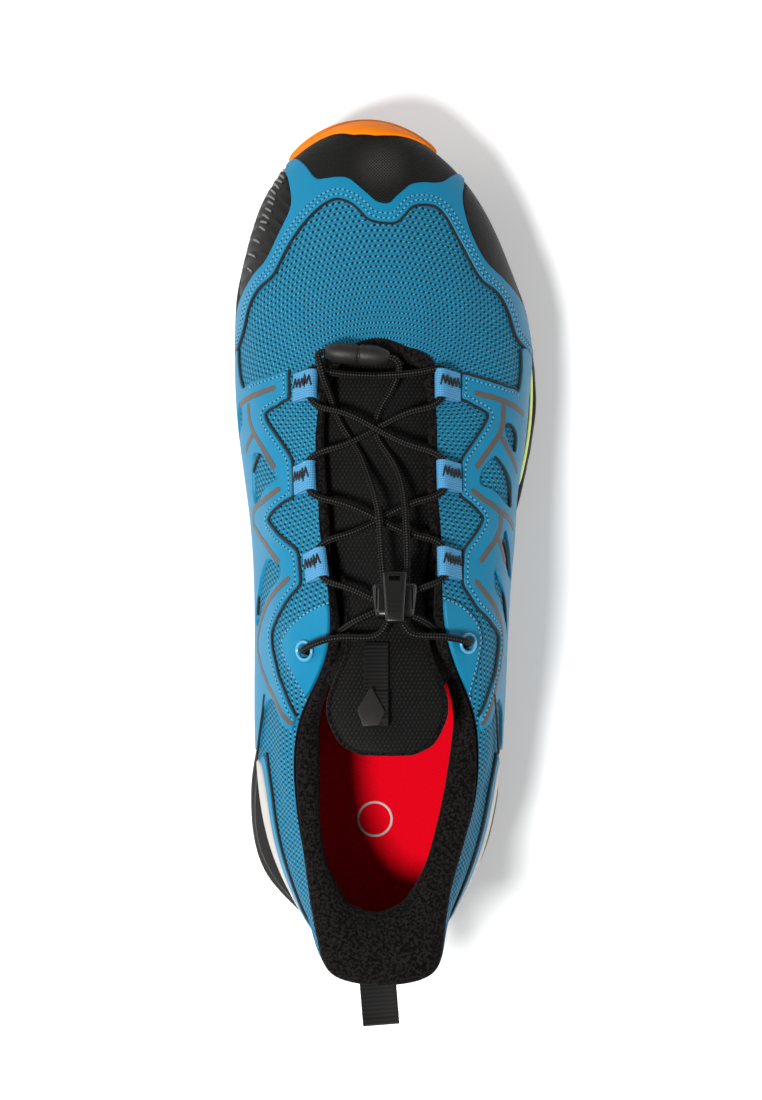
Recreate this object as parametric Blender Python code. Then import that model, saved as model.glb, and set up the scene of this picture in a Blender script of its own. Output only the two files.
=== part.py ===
"""Right hiking shoe with a speed lace, modelled as the pieces that a shoemaker puts together.

The tables are in millimetres: x runs to the outer (lateral) side, y from the heel to the toe and z up
from the floor. A place on the upper is named by its turn, an angle that goes round the shoe from the heel
over the lateral side, and by its rise, from 0 at the sole to 1 at the collar and throat edge.
"""

import math
from collections import namedtuple

import bmesh
import bpy
import numpy as np
from mathutils import Vector

MM = 0.001

# Driving sizes
GAP = 0.3
WALL = 2.2
OVERLAY = 0.8
FEATHER_INSET = 4.0
LUG_HEIGHT = 4.0
RUBBER = 2.6
INSOLE_THICKNESS = 4.0
INSOLE_PLAY = 1.2
CORD_RADIUS = 1.15
WEBBING = 0.6
LOOP_LENGTH = 9.4
LOOP_REACH = 8.8
LOOP_STATIONS = (196.0, 165.0, 137.0)
EYELET_RADIUS = 2.7
EYELET_TUBE = 0.85
HEEL_LOOP_WIDTH = 12.0

Section = namedtuple("Section", "y medial lateral z")
SoleLine = namedtuple("SoleLine", "y ground top")
SideStep = namedtuple("SideStep", "share outset")
TongueRow = namedtuple("TongueRow", "y centre half z drop thick")
CuffRow = namedtuple("CuffRow", "y pad height")

# Outline of the midsole seen from above
SOLE_OUTLINE = [
    Section(0.0, -2.0, -2.0, 0),
    Section(4.0, -15.0, 11.5, 0),
    Section(12.0, -25.8, 21.4, 0),
    Section(24.0, -37.4, 30.4, 0),
    Section(36.0, -43.6, 36.6, 0),
    Section(52.0, -45.6, 40.3, 0),
    Section(76.0, -43.0, 41.3, 0),
    Section(106.0, -38.5, 40.5, 0),
    Section(140.0, -39.4, 43.6, 0),
    Section(170.0, -46.8, 51.4, 0),
    Section(198.0, -51.0, 54.4, 0),
    Section(222.0, -51.2, 51.4, 0),
    Section(243.0, -48.0, 44.2, 0),
    Section(262.0, -41.4, 34.2, 0),
    Section(276.0, -31.6, 22.4, 0),
    Section(284.0, -19.5, 9.5, 0),
    Section(287.0, -5.0, -5.0, 0),
]

# Lower and upper edge of the sole along the shoe, with heel rise and toe spring
SOLE_LINES = [
    SoleLine(-2, 5.0, 35.5),
    SoleLine(12, 1.6, 34.5),
    SoleLine(28, 0.0, 33.5),
    SoleLine(60, 0.0, 31.5),
    SoleLine(105, 0.0, 28.0),
    SoleLine(150, 0.0, 25.0),
    SoleLine(190, 0.0, 23.5),
    SoleLine(214, 0.4, 23.8),
    SoleLine(238, 3.2, 26.0),
    SoleLine(262, 8.6, 30.5),
    SoleLine(280, 14.6, 35.5),
    SoleLine(292, 19.0, 39.0),
]
FLAT_FROM, FLAT_TO = 26.0, 208.0
ARCH_CENTRE, ARCH_HALF, ARCH_LIFT = 118.0, 40.0, 5.0

# Side of the midsole from its lower to its upper edge: a groove, a step and a rolled top
SIDE_STEPS = [
    SideStep(0.00, -1.6),
    SideStep(0.10, 0.0),
    SideStep(0.34, 0.2),
    SideStep(0.39, -1.2),
    SideStep(0.46, -1.2),
    SideStep(0.51, 0.1),
    SideStep(0.74, -0.5),
    SideStep(0.79, -1.8),
    SideStep(1.00, -2.6),
]

# Lines round the upper, from the widest part of the wall to the collar and throat edge
BULGE = [
    Section(1.0, -1.5, -1.5, 53),
    Section(5.0, -16.0, 13.0, 52),
    Section(18.0, -27.0, 24.8, 50),
    Section(40.0, -37.4, 35.0, 48),
    Section(75.0, -42.3, 40.8, 46),
    Section(115.0, -42.4, 42.4, 46),
    Section(150.0, -44.0, 46.0, 43),
    Section(185.0, -48.6, 51.6, 38),
    Section(215.0, -49.4, 50.8, 35),
    Section(240.0, -46.6, 43.6, 36),
    Section(261.0, -39.8, 33.4, 39),
    Section(275.0, -30.0, 21.2, 42.5),
    Section(283.0, -18.0, 8.5, 45),
    Section(286.0, -5.0, -5.0, 46),
]
SHOULDER = [
    Section(8.0, -0.5, -0.5, 75),
    Section(11.0, -17.5, 15.5, 74),
    Section(24.0, -27.5, 25.5, 70),
    Section(45.0, -34.0, 33.0, 66),
    Section(75.0, -37.0, 38.0, 63.5),
    Section(110.0, -37.5, 40.4, 68),
    Section(145.0, -38.5, 41.4, 67),
    Section(180.0, -42.0, 44.4, 60),
    Section(210.0, -43.6, 44.2, 54),
    Section(233.0, -41.4, 38.6, 51),
    Section(253.0, -34.4, 29.0, 51.5),
    Section(266.0, -24.4, 16.8, 53.5),
    Section(273.0, -14.0, 5.5, 55),
    Section(275.5, -4.0, -4.0, 55.5),
]
VAMP = [
    Section(2.8, 0.0, 0.0, 86),
    Section(6.0, -17.5, 17.0, 85.5),
    Section(22.0, -25.0, 23.8, 81),
    Section(42.0, -30.0, 30.0, 75.5),
    Section(75.0, -33.8, 36.2, 72.5),
    Section(105.0, -29.5, 34.2, 83),
    Section(140.0, -29.6, 31.6, 80.5),
    Section(175.0, -32.0, 32.4, 71.5),
    Section(203.0, -32.4, 31.6, 66),
    Section(222.0, -28.0, 25.0, 64.0),
    Section(235.0, -19.5, 15.5, 63.5),
    Section(241.5, -10.5, 7.0, 63.5),
    Section(243.5, -2.0, -2.0, 63.5),
]
TOPLINE = [
    Section(-1.6, 0.3, 0.3, 93),
    Section(1.2, -15.4, 15.8, 92.5),
    Section(8.0, -20.2, 20.4, 91),
    Section(25.0, -23.8, 22.8, 86),
    Section(42.0, -26.6, 27.6, 81.5),
    Section(58.0, -28.6, 31.6, 78.5),
    Section(74.0, -29.0, 32.6, 78),
    Section(88.0, -26.0, 30.6, 82),
    Section(100.0, -20.4, 25.8, 89),
    Section(114.0, -17.0, 21.4, 93.5),
    Section(135.0, -18.6, 20.2, 90),
    Section(160.0, -21.0, 18.9, 84),
    Section(184.0, -21.4, 18.6, 78),
    Section(198.0, -18.4, 16.6, 75),
    Section(206.5, -11.0, 9.4, 73.6),
    Section(209.5, -1.0, -1.0, 73.2),
]
RING_RISES = (0.0, 0.22, 0.48, 0.76, 1.0)
FORWARD = {"bulge": 0.0, "shoulder": 0.05, "vamp": 0.2, "topline": 0.4}

# Tongue from under the vamp to its free end
TONGUE = [
    TongueRow(216.0, -1.0, 15.0, 66.0, 1.5, 3.0),
    TongueRow(202.0, -1.0, 19.0, 69.8, 2.6, 3.8),
    TongueRow(185.0, -1.0, 22.4, 74.4, 3.6, 4.2),
    TongueRow(160.0, -0.4, 20.6, 80.8, 3.6, 4.6),
    TongueRow(138.0, 1.0, 14.6, 86.4, 2.4, 4.6),
    TongueRow(120.0, 2.2, 12.6, 92.0, 1.8, 4.6),
    TongueRow(106.0, 2.4, 13.8, 98.8, 1.8, 4.6),
    TongueRow(94.0, 2.2, 18.2, 104.8, 2.8, 5.0),
    TongueRow(84.0, 2.0, 19.2, 108.8, 4.0, 5.0),
    TongueRow(77.5, 2.0, 16.0, 110.8, 4.0, 4.6),
    TongueRow(75.0, 2.0, 10.0, 111.4, 3.0, 4.0),
]

# Padded cuff round the ankle: how far it swells inwards and stands above the edge of the upper
CUFF = [
    CuffRow(-2.0, 15.0, 5.0),
    CuffRow(8.0, 13.5, 5.0),
    CuffRow(25.0, 10.5, 5.0),
    CuffRow(58.0, 10.5, 4.6),
    CuffRow(88.0, 6.0, 3.6),
    CuffRow(106.0, 3.0, 2.4),
    CuffRow(118.0, 2.2, 1.6),
    CuffRow(134.0, 1.2, 0.2),
]
CUFF_END = 12
CUFF_FOOT, CUFF_FOOT_LIFT = 0.625, 0.25
CUFF_FOOT_PAD, CUFF_LIP = 3.0, 3.0
CUFF_END_GAP = 0.7
HEEL_CENTRE = (1.0, 26.0)

# Colours as they look in daylight
BLUE = (0.020, 0.235, 0.430)
LIGHT_BLUE = (0.060, 0.330, 0.560)
BLACK = (0.012, 0.012, 0.013)
GREY = (0.060, 0.060, 0.062)
ORANGE = (0.900, 0.190, 0.015)
RED = (0.740, 0.006, 0.016)
WHITE = (0.700, 0.680, 0.650)
LIME = (0.480, 0.760, 0.060)


# Splines and the lines round the shoe
def spline(knots, values):
    """A natural cubic spline through rows of values, as a function of the knot position."""
    knots = np.asarray(knots, float)
    values = np.asarray(values, float)
    count = len(knots)
    step = np.diff(knots)
    slope = np.diff(values, axis=0) / step[:, None]
    system = np.eye(count)
    right = np.zeros_like(values)
    for i in range(1, count - 1):
        system[i, i - 1 : i + 2] = step[i - 1], 2 * (step[i - 1] + step[i]), step[i]
        right[i] = 6 * (slope[i] - slope[i - 1])
    bend = np.linalg.solve(system, right)

    def at(place):
        i = int(np.clip(np.searchsorted(knots, place) - 1, 0, count - 2))
        a = (knots[i + 1] - place) / step[i]
        b = 1 - a
        curve = ((a**3 - a) * bend[i] + (b**3 - b) * bend[i + 1]) * step[i] ** 2 / 6
        return a * values[i] + b * values[i + 1] + curve

    return at


class Ring:
    """A closed line round the shoe through table rows; forward moves its points towards the toe."""

    WRAP = 6

    def __init__(self, rows, forward=0.0):
        self.first, self.last, self.forward = rows[0].y, rows[-1].y, forward
        turns = [self.turn_at(row.y, "lateral") for row in rows]
        inner = range(len(rows) - 2, 0, -1)
        knots = turns + [2 * math.pi - turns[i] for i in inner]
        values = [(row.lateral, row.z) for row in rows] + [(rows[i].medial, rows[i].z) for i in inner]
        before = [k - 2 * math.pi for k in knots[-self.WRAP :]]
        after = [k + 2 * math.pi for k in knots[: self.WRAP]]
        wrapped = values[-self.WRAP :] + values + values[: self.WRAP]
        self.line = spline(before + knots + after, wrapped)

    def turn_at(self, y, side):
        share = min(1.0, max(0.0, (y - self.first) / (self.last - self.first)))
        k = self.forward
        cosine_share = share if k == 0 else (1 + k - math.sqrt((1 + k) ** 2 - 4 * k * share)) / (2 * k)
        turn = math.acos(max(-1.0, min(1.0, 1 - 2 * cosine_share)))
        return turn if side == "lateral" else 2 * math.pi - turn

    def __call__(self, turn):
        turn %= 2 * math.pi
        x, z = self.line(turn)
        c = (1 - math.cos(turn)) / 2
        y = self.first + (self.last - self.first) * (c + self.forward * c * (1 - c))
        return np.array((x, y, z))


sole_line = spline([row.y for row in SOLE_LINES], [(row.ground, row.top) for row in SOLE_LINES])
outline = Ring(SOLE_OUTLINE)
bulge = Ring(BULGE, FORWARD["bulge"])
shoulder = Ring(SHOULDER, FORWARD["shoulder"])
vamp = Ring(VAMP, FORWARD["vamp"])
topline = Ring(TOPLINE, FORWARD["topline"])
ring_weights = spline(RING_RISES, np.eye(len(RING_RISES)))


def ground(y):
    """Height of the tread's lower face: flat under heel and forefoot, raised at both ends."""
    return 0.0 if FLAT_FROM <= y <= FLAT_TO else max(0.0, float(sole_line(y)[0]))


def sole_top(y):
    return float(sole_line(y)[1])


def arch(y):
    """Lift of the sole's underside at the waist."""
    share = max(0.0, 1 - ((y - ARCH_CENTRE) / ARCH_HALF) ** 2)
    return ARCH_LIFT * share**2


def inset(ring, turn, distance):
    """A point of a ring moved towards the middle of the shoe."""
    return ring(turn) + distance * np.array((-math.sin(turn), math.cos(turn), 0))


def feather(turn):
    """The lower edge of the upper, just above the sole."""
    point = inset(bulge, turn, FEATHER_INSET)
    point[2] = sole_top(point[1]) + GAP
    return point


def skin(turn, rise):
    """Outer surface of the upper."""
    rings = np.array([feather(turn), bulge(turn), shoulder(turn), vamp(turn), topline(turn)])
    return ring_weights(rise) @ rings


def skin_frame(turn, rise, step=0.004):
    """Point, outward normal and upward direction of the upper's outer surface."""
    low, high = max(0.0, rise - step), min(1.0, rise + step)
    along = skin(turn + step, rise) - skin(turn - step, rise)
    up = skin(turn, high) - skin(turn, low)
    normal = np.cross(along, up)
    return skin(turn, rise), normal / np.linalg.norm(normal), up / np.linalg.norm(up)


def lifted(turn, rise, lift):
    point, normal, _ = skin_frame(turn, rise)
    return point + lift * normal


# Making objects
def clear_scene():
    for old in list(bpy.data.objects):
        bpy.data.objects.remove(old, do_unlink=True)


def make_collection(name):
    collection = bpy.data.collections.new(name)
    bpy.context.scene.collection.children.link(collection)
    return collection


def make_material(name, color, roughness, metallic=0.0):
    material = bpy.data.materials.new(name)
    material.use_nodes = True
    shader = material.node_tree.nodes["Principled BSDF"]
    shader.inputs["Base Color"].default_value = (*color, 1)
    shader.inputs["Roughness"].default_value = roughness
    shader.inputs["Metallic"].default_value = metallic
    material.diffuse_color = (*color, 1)
    return material


def add_part(name, bm, material):
    """Links a bmesh in millimetres as a part in metres, in triangles so that neighbours fit alike."""
    bmesh.ops.triangulate(bm, faces=bm.faces[:])
    bmesh.ops.recalc_face_normals(bm, faces=bm.faces[:])
    if bm.calc_volume(signed=True) < 0:
        bmesh.ops.reverse_faces(bm, faces=bm.faces[:])
    bmesh.ops.scale(bm, vec=(MM, MM, MM), verts=bm.verts[:])
    mesh = bpy.data.meshes.new(name)
    bm.to_mesh(mesh)
    bm.free()
    mesh.shade_smooth()
    mesh.set_sharp_from_angle(angle=math.radians(40))
    part = bpy.data.objects.new(name, mesh)
    part.data.materials.append(material)
    shoe.objects.link(part)
    part.parent = base
    return part


def flat_sheet(columns, rows):
    """A flat grid from 0 to 1 both ways."""
    bm = bmesh.new()
    bmesh.ops.create_grid(bm, x_segments=columns, y_segments=rows, size=0.5)
    bmesh.ops.translate(bm, vec=(0.5, 0.5, 0), verts=bm.verts[:])
    return bm


def ring_sheet(columns, rows):
    """A flat ring whose angle is the turn and whose radius, less 1, is the rise."""
    bm = flat_sheet(columns, rows)
    for v in bm.verts:
        angle, radius = 2 * math.pi * v.co.x, 1 + v.co.y
        v.co = (radius * math.cos(angle), radius * math.sin(angle), 0)
    bmesh.ops.remove_doubles(bm, verts=bm.verts[:], dist=1e-5)
    return bm


def patch_sheet(corners, turn_step, rise_step):
    """A flat patch with the outline corners (turn in degrees, rise), cut along the upper's own facets."""
    bm = bmesh.new()
    verts = [bm.verts.new((math.radians(turn), rise, 0)) for turn, rise in corners]
    outline_face = bm.faces.new(verts)
    bm.normal_update()
    bmesh.ops.triangulate(bm, faces=[outline_face])
    steps = (math.radians(turn_step), rise_step)
    for axis, step in enumerate(steps):
        places = [v.co[axis] for v in bm.verts]
        normal = Vector((1, 0, 0)) if axis == 0 else Vector((0, 1, 0))
        for k in range(math.ceil(min(places) / step), math.floor(max(places) / step) + 1):
            geometry = bm.verts[:] + bm.edges[:] + bm.faces[:]
            bmesh.ops.bisect_plane(bm, geom=geometry, dist=1e-4, plane_co=normal * k * step, plane_no=normal)

    def on_line(edge):
        for axis, step in enumerate(steps):
            first, second = (v.co[axis] / step for v in edge.verts)
            if abs(first - second) < 1e-3 and abs(first - round(first)) < 1e-3:
                return True
        return False

    spare = [e for e in bm.edges if len(e.link_faces) == 2 and not on_line(e)]
    bmesh.ops.dissolve_edges(bm, edges=spare, use_verts=False)
    bmesh.ops.remove_doubles(bm, verts=bm.verts[:], dist=4e-4)
    return bm


def thicken(bm, lower, upper):
    """Extrudes a flat sheet and places its two sides on the surfaces lower(a, b) and upper(a, b)."""
    made = bmesh.ops.extrude_face_region(bm, geom=bm.faces[:])
    raised = {v for v in made["geom"] if isinstance(v, bmesh.types.BMVert)}
    for v in bm.verts:
        v.co = (upper if v in raised else lower)(v.co.x, v.co.y)
    return bm


def polar(place):
    """Lets a surface of turn and rise be read from a ring sheet."""
    return lambda x, y: place(math.atan2(y, x), math.hypot(x, y) - 1)


def cap(bm, loop):
    """Closes a loop of points with rungs from its medial to its lateral side."""
    half = len(loop) // 2
    bm.faces.new((loop[0], loop[1], loop[-1]))
    for k in range(1, half - 1):
        bm.faces.new((loop[k], loop[k + 1], loop[-k - 1], loop[-k]))
    bm.faces.new((loop[half - 1], loop[half], loop[half + 1]))


def loft(loops):
    """A closed solid through loops of points of the same count."""
    bm = bmesh.new()
    made = [[bm.verts.new(point) for point in loop] for loop in loops]
    count = len(made[0])
    for low, high in zip(made, made[1:]):
        for k in range(count):
            n = (k + 1) % count
            bm.faces.new((low[k], low[n], high[n], high[k]))
    cap(bm, made[0])
    cap(bm, made[-1])
    return bm


def swept(sections):
    """A closed solid through open-ended sections, each a loop of points of the same count."""
    bm = bmesh.new()
    made = [[bm.verts.new(point) for point in section] for section in sections]
    count = len(made[0])
    for low, high in zip(made, made[1:]):
        for k in range(count):
            n = (k + 1) % count
            bm.faces.new((low[k], low[n], high[n], high[k]))
    bm.faces.new(made[0])
    bm.faces.new(made[-1])
    bm.normal_update()
    return bm


def folded_strip(name, path, thickness, width, frame, material):
    """A webbing strip: its path lies in the plane of the frame's across and up, its width along."""
    origin, across, up, along = frame
    path = np.array(path, float)
    tangent = np.gradient(path, axis=0)
    tangent /= np.linalg.norm(tangent, axis=1)[:, None]
    offset = np.stack((-tangent[:, 1], tangent[:, 0]), 1) * thickness / 2

    def face(side):
        def place(a, b):
            i = round(a * (len(path) - 1))
            x, z = path[i] + side * offset[i]
            return origin + x * across + z * up + (b - 0.5) * width * along

        return place

    bm = flat_sheet(len(path) - 1, 1)
    return add_part(name, thicken(bm, face(-1), face(1)), material)


def smooth_route(points, spacing):
    """Points at an even spacing on a smooth curve through the route's own points."""
    points = np.array(points, float)
    length = np.concatenate(([0], np.cumsum(np.linalg.norm(np.diff(points, axis=0), axis=1))))
    curve = spline(length, points)
    count = max(2, round(length[-1] / spacing))
    return [curve(s) for s in np.linspace(0, length[-1], count + 1)]


def cord(name, points, material, radii=None, radius=CORD_RADIUS, spacing=6.8, sides=1):
    """A round cord along a route, as a curve with a bevel and filled caps."""
    route = points if radii else smooth_route(points, spacing)
    curve = bpy.data.curves.new(name, "CURVE")
    curve.dimensions = "3D"
    curve.bevel_depth = radius * MM
    curve.bevel_resolution = sides
    curve.use_fill_caps = True
    line = curve.splines.new("POLY")
    line.points.add(len(route) - 1)
    for i, point in enumerate(route):
        line.points[i].co = (*(np.array(point) * MM), 1)
        line.points[i].radius = radii[i] if radii else 1.0
    curve.materials.append(material)
    part = bpy.data.objects.new(name, curve)
    shoe.objects.link(part)
    part.parent = base
    return part


def as_mesh(part):
    """Makes a cord a welded mesh, so that it can be joined."""
    name, material = part.name, part.data.materials[0]
    evaluated = part.evaluated_get(bpy.context.evaluated_depsgraph_get())
    mesh = bpy.data.meshes.new_from_object(evaluated)
    bm = bmesh.new()
    bm.from_mesh(mesh)
    bmesh.ops.remove_doubles(bm, verts=bm.verts[:], dist=1e-6)
    bmesh.ops.recalc_face_normals(bm, faces=bm.faces[:])
    bm.to_mesh(mesh)
    bm.free()
    made = bpy.data.objects.new(name + "_mesh", mesh)
    if not mesh.materials:
        mesh.materials.append(material)
    shoe.objects.link(made)
    made.parent = base
    bpy.data.objects.remove(part)
    made.name = name
    return made


def boolean(part, cutter, operation):
    """Leaves a Boolean on a part and hides its cutter."""
    modifier = part.modifiers.new(operation.lower(), "BOOLEAN")
    modifier.operation = operation
    modifier.object = cutter
    cutter.hide_render = True
    cutter.display_type = "WIRE"
    for owner in list(cutter.users_collection):
        owner.objects.unlink(cutter)
    cutters.objects.link(cutter)


# Sole
SOLE_COLUMNS = 44


def sole_side(turn, share, extra=0.0):
    """A point on the side of the midsole: share runs from its lower to its upper edge."""
    steps = [s.share for s in SIDE_STEPS]
    outset = float(np.interp(share, steps, [s.outset for s in SIDE_STEPS])) + extra
    point = inset(outline, turn, -outset)
    low = midsole_bottom(point[1])
    point[2] = low + share * (sole_top(point[1]) - low)
    return point


def midsole_bottom(y):
    return ground(y) + LUG_HEIGHT + RUBBER + GAP + 0.2 + arch(y)


def around(place, columns=SOLE_COLUMNS):
    return [place(2 * math.pi * k / columns) for k in range(columns)]


def build_midsole():
    loops = [around(lambda turn, s=step: sole_side(turn, s.share)) for step in SIDE_STEPS]
    add_part("midsole", loft(loops), black_foam)


def build_insole():
    def edge(turn, height):
        point = inset(bulge, turn, FEATHER_INSET + WALL + INSOLE_PLAY)
        point[2] = sole_top(point[1]) + GAP + height
        return point

    loops = [around(lambda turn, h=h: edge(turn, h), 40) for h in (0.0, INSOLE_THICKNESS)]
    add_part("insole", loft(loops), red_cloth)


# Tread: a rubber plate whose cells alternate between lugs and gaps
TREAD_ROWS, TREAD_COLUMNS = 25, 6
TREAD_INSET = 1.2
LUG_DRAFT = 0.7
TREAD_END = 0.16
CHEVRON = 5.0
WAIST_FROM, WAIST_TO = 92.0, 144.0


def tread_place(across, along, height):
    turn = TREAD_END + (math.pi - 2 * TREAD_END) * along
    lateral, medial = inset(outline, turn, TREAD_INSET), inset(outline, -turn, TREAD_INSET)
    point = medial + (lateral - medial) * across
    towards = 1 if point[1] > ARCH_CENTRE else -1
    point[1] += towards * CHEVRON * math.sin(math.pi * across) * math.sin(turn)
    point[2] = ground(point[1]) + LUG_HEIGHT + arch(point[1]) + height
    return point


def is_lug(across, along, y):
    column, row = int(across * TREAD_COLUMNS), int(along * TREAD_ROWS)
    if min(row, TREAD_ROWS - 1 - row) < 3:
        return column in (1, 4) and min(row, TREAD_ROWS - 1 - row) == 2
    return not WAIST_FROM < y < WAIST_TO and (row + column) % 2 == 0


def build_outsole():
    bm = flat_sheet(TREAD_COLUMNS, TREAD_ROWS)
    lugs = []
    for face in bm.faces:
        centre = face.calc_center_median()
        if is_lug(centre.x, centre.y, tread_place(centre.x, centre.y, 0)[1]):
            lugs.append(face)
    thicken(bm, lambda a, b: tread_place(a, b, 0), lambda a, b: tread_place(a, b, RUBBER))
    for _ in ("foot", "flank"):
        bmesh.ops.inset_individual(bm, faces=lugs, thickness=LUG_DRAFT, use_even_offset=True)
    for face in lugs:
        level = ground(face.calc_center_median().y)
        for v in face.verts:
            v.co.z = level
    add_part("outsole", bm, black_rubber)


# Bumper that wraps the toe in front of the midsole and the lower wall of the upper
BUMPER_FROM, BUMPER_TO = 156.0, 204.0
BUMPER_COLUMNS = 12
BUMPER_THICK, BUMPER_EDGE = 2.6, 0.9
BUMPER_TOP = [
    (156, 0.20), (163, 0.235), (166.5, 0.27), (169, 0.305), (173, 0.35), (177, 0.375), (185, 0.36),
    (188, 0.315), (191, 0.275), (195, 0.245), (200, 0.235), (204, 0.22),
]
BUMPER_LEVELS = (0.06, 0.30, 0.60, 0.97)


def bumper_section(turn, share):
    """Inner and outer side of the bumper at one turn; it thins out towards both ends."""
    swell = BUMPER_EDGE + (BUMPER_THICK - BUMPER_EDGE) * math.sin(math.pi * share) ** 0.6
    inner, outer = [], []
    out = np.array((math.sin(turn), -math.cos(turn), 0))
    for level in BUMPER_LEVELS:
        inner.append(sole_side(turn, level) + out * (GAP + 0.25 - min(0.0, step_depth(level))))
        outer.append(inner[-1] + out * swell)
    top = float(np.interp(math.degrees(turn), *zip(*BUMPER_TOP)))
    for rise, part in ((0.10, 1.0), (0.18, 0.9), ((0.18 + top) / 2, 0.7), (top, 0.35)):
        inner.append(lifted(turn, rise, GAP + 0.1))
        outer.append(lifted(turn, rise, GAP + 0.1 + max(0.7, swell * part)))
    return inner + outer[::-1]


def step_depth(share):
    return float(np.interp(share, [s.share for s in SIDE_STEPS], [s.outset for s in SIDE_STEPS]))


def build_toe_bumper():
    sections = []
    for k in range(BUMPER_COLUMNS + 1):
        share = k / BUMPER_COLUMNS
        turn = math.radians(BUMPER_FROM + share * (BUMPER_TO - BUMPER_FROM))
        sections.append(bumper_section(turn, share))
    add_part("toe_bumper", swept(sections), orange_rubber)


# Upper
UPPER_COLUMNS, UPPER_ROWS = 44, 8


def build_upper():
    bm = ring_sheet(UPPER_COLUMNS, UPPER_ROWS)
    thicken(bm, polar(skin), polar(lambda turn, rise: lifted(turn, rise, -WALL)))
    add_part("upper", bm, blue_mesh)


def inwards(edge, normal, share):
    """Direction in which the cuff swells: level and towards one centre at the heel, off the wall in front."""
    level = np.array((HEEL_CENTRE[0] - edge[0], max(0.0, HEEL_CENTRE[1] - edge[1]), 0))
    towards = (1 - share**2) * level / np.linalg.norm(level) - share**2 * normal
    return towards / np.linalg.norm(towards)


def cuff_section(turn, pad, height, share):
    """A padded roll inside the upper that stands over its edge; share is 1 at its front ends."""
    inside = WALL + GAP + 0.2 + CUFF_END_GAP * share**6
    edge, normal, up = skin_frame(turn, 1.0)
    over = edge + up * (GAP + 0.1)
    into = inwards(edge, normal, share)
    foot = CUFF_FOOT + CUFF_FOOT_LIFT * share**12
    lip = CUFF_LIP * (1 + max(0.0, pad - CUFF_LIP) / 10)
    points = [lifted(turn, rise, -inside) for rise in np.linspace(foot, 1.0, 4)]
    points.append(over - normal * inside)
    points.append(over)
    points.append(over + normal * 0.5 + up * height * 0.45)
    points.append(over + into * pad * 0.35 + up * height)
    points.append(over + into * (inside + pad * 0.75) + up * (height * 0.55 - pad * 0.13))
    points.append(over + into * (inside + pad) - up * lip)
    points.append(skin(turn, foot + 0.125) + into * (inside + pad * 0.85))
    points.append(skin(turn, foot) + into * (inside + min(pad, CUFF_FOOT_PAD)))
    return points


def build_cuff():
    swell = spline([row.y for row in CUFF], [(row.pad, row.height) for row in CUFF])
    sections = []
    for column in range(-CUFF_END, CUFF_END + 1):
        turn = 2 * math.pi * column / UPPER_COLUMNS
        pad, height = swell(topline(turn)[1])
        sections.append(cuff_section(turn, pad, height, abs(column) / CUFF_END))
    add_part("collar_cuff", swept(sections), black_lining)


# Tongue
tongue_rows = spline(
    [-row.y for row in TONGUE],
    [(row.centre, row.half, row.z, row.drop, row.thick) for row in TONGUE],
)
TONGUE_COLUMNS, TONGUE_LENGTHS = 6, 15
TONGUE_EDGE = 0.45


def tongue_place(across, y, depth):
    """A point of the tongue: across from -1 to 1, depth 0 on its top and 1 on its underside."""
    centre, half, z, drop, thick = tongue_rows(-y)
    edge = 1 - (1 - TONGUE_EDGE) * across**4
    return np.array((centre + across * half, y, z - drop * across**2 - depth * thick * edge))


def build_tongue():
    bm = flat_sheet(TONGUE_COLUMNS, TONGUE_LENGTHS)
    first, last = TONGUE[0].y, TONGUE[-1].y

    def side(depth):
        return lambda a, b: tongue_place(2 * a - 1, first + (last - first) * b, depth)

    thicken(bm, side(0.0), side(1.0))
    add_part("tongue", bm, black_mesh)


# Overlays that are bonded to the upper: corners as turn in degrees and rise
OVERLAY_LIFT = GAP + 0.1
TOE_CAP_BASE = [
    (156, 0.27), (163, 0.275), (166.5, 0.305), (169, 0.34), (173, 0.385), (177, 0.405), (185, 0.395),
    (188, 0.355), (191, 0.315), (195, 0.28), (200, 0.27),
]
TOE_CAP_EDGE = [
    (201, 0.40), (200, 0.49), (197, 0.51), (193, 0.53), (189, 0.55), (185, 0.59), (181, 0.62),
    (178, 0.64), (173, 0.64), (170, 0.61), (167, 0.58), (164, 0.54), (161, 0.51), (156, 0.46),
    (154, 0.40),
]
FRAME_INNER = [
    (116, 0.10), (117, 0.31), (120, 0.44), (125, 0.45), (129, 0.48), (136, 0.59), (146, 0.58),
    (152, 0.55), (155, 0.55), (159, 0.58), (163, 0.61), (166, 0.65), (170, 0.69), (177, 0.70),
    (183, 0.69), (187, 0.65), (191, 0.62), (196, 0.59), (208, 0.59), (221, 0.59), (225, 0.56),
    (231, 0.47), (240, 0.42), (243, 0.26), (244, 0.10),
]
FRAME_OUTER = {
    "medial": [
        (238, 0.10), (236, 0.24), (232, 0.36), (228, 0.43), (223, 0.51), (213, 0.51), (209, 0.49),
        (207, 0.38), (205, 0.26),
    ],
    "lateral": [
        (151, 0.26), (149, 0.42), (145, 0.49), (140, 0.51), (135, 0.49), (129, 0.38), (125, 0.26),
        (123, 0.10),
    ],
}
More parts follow.
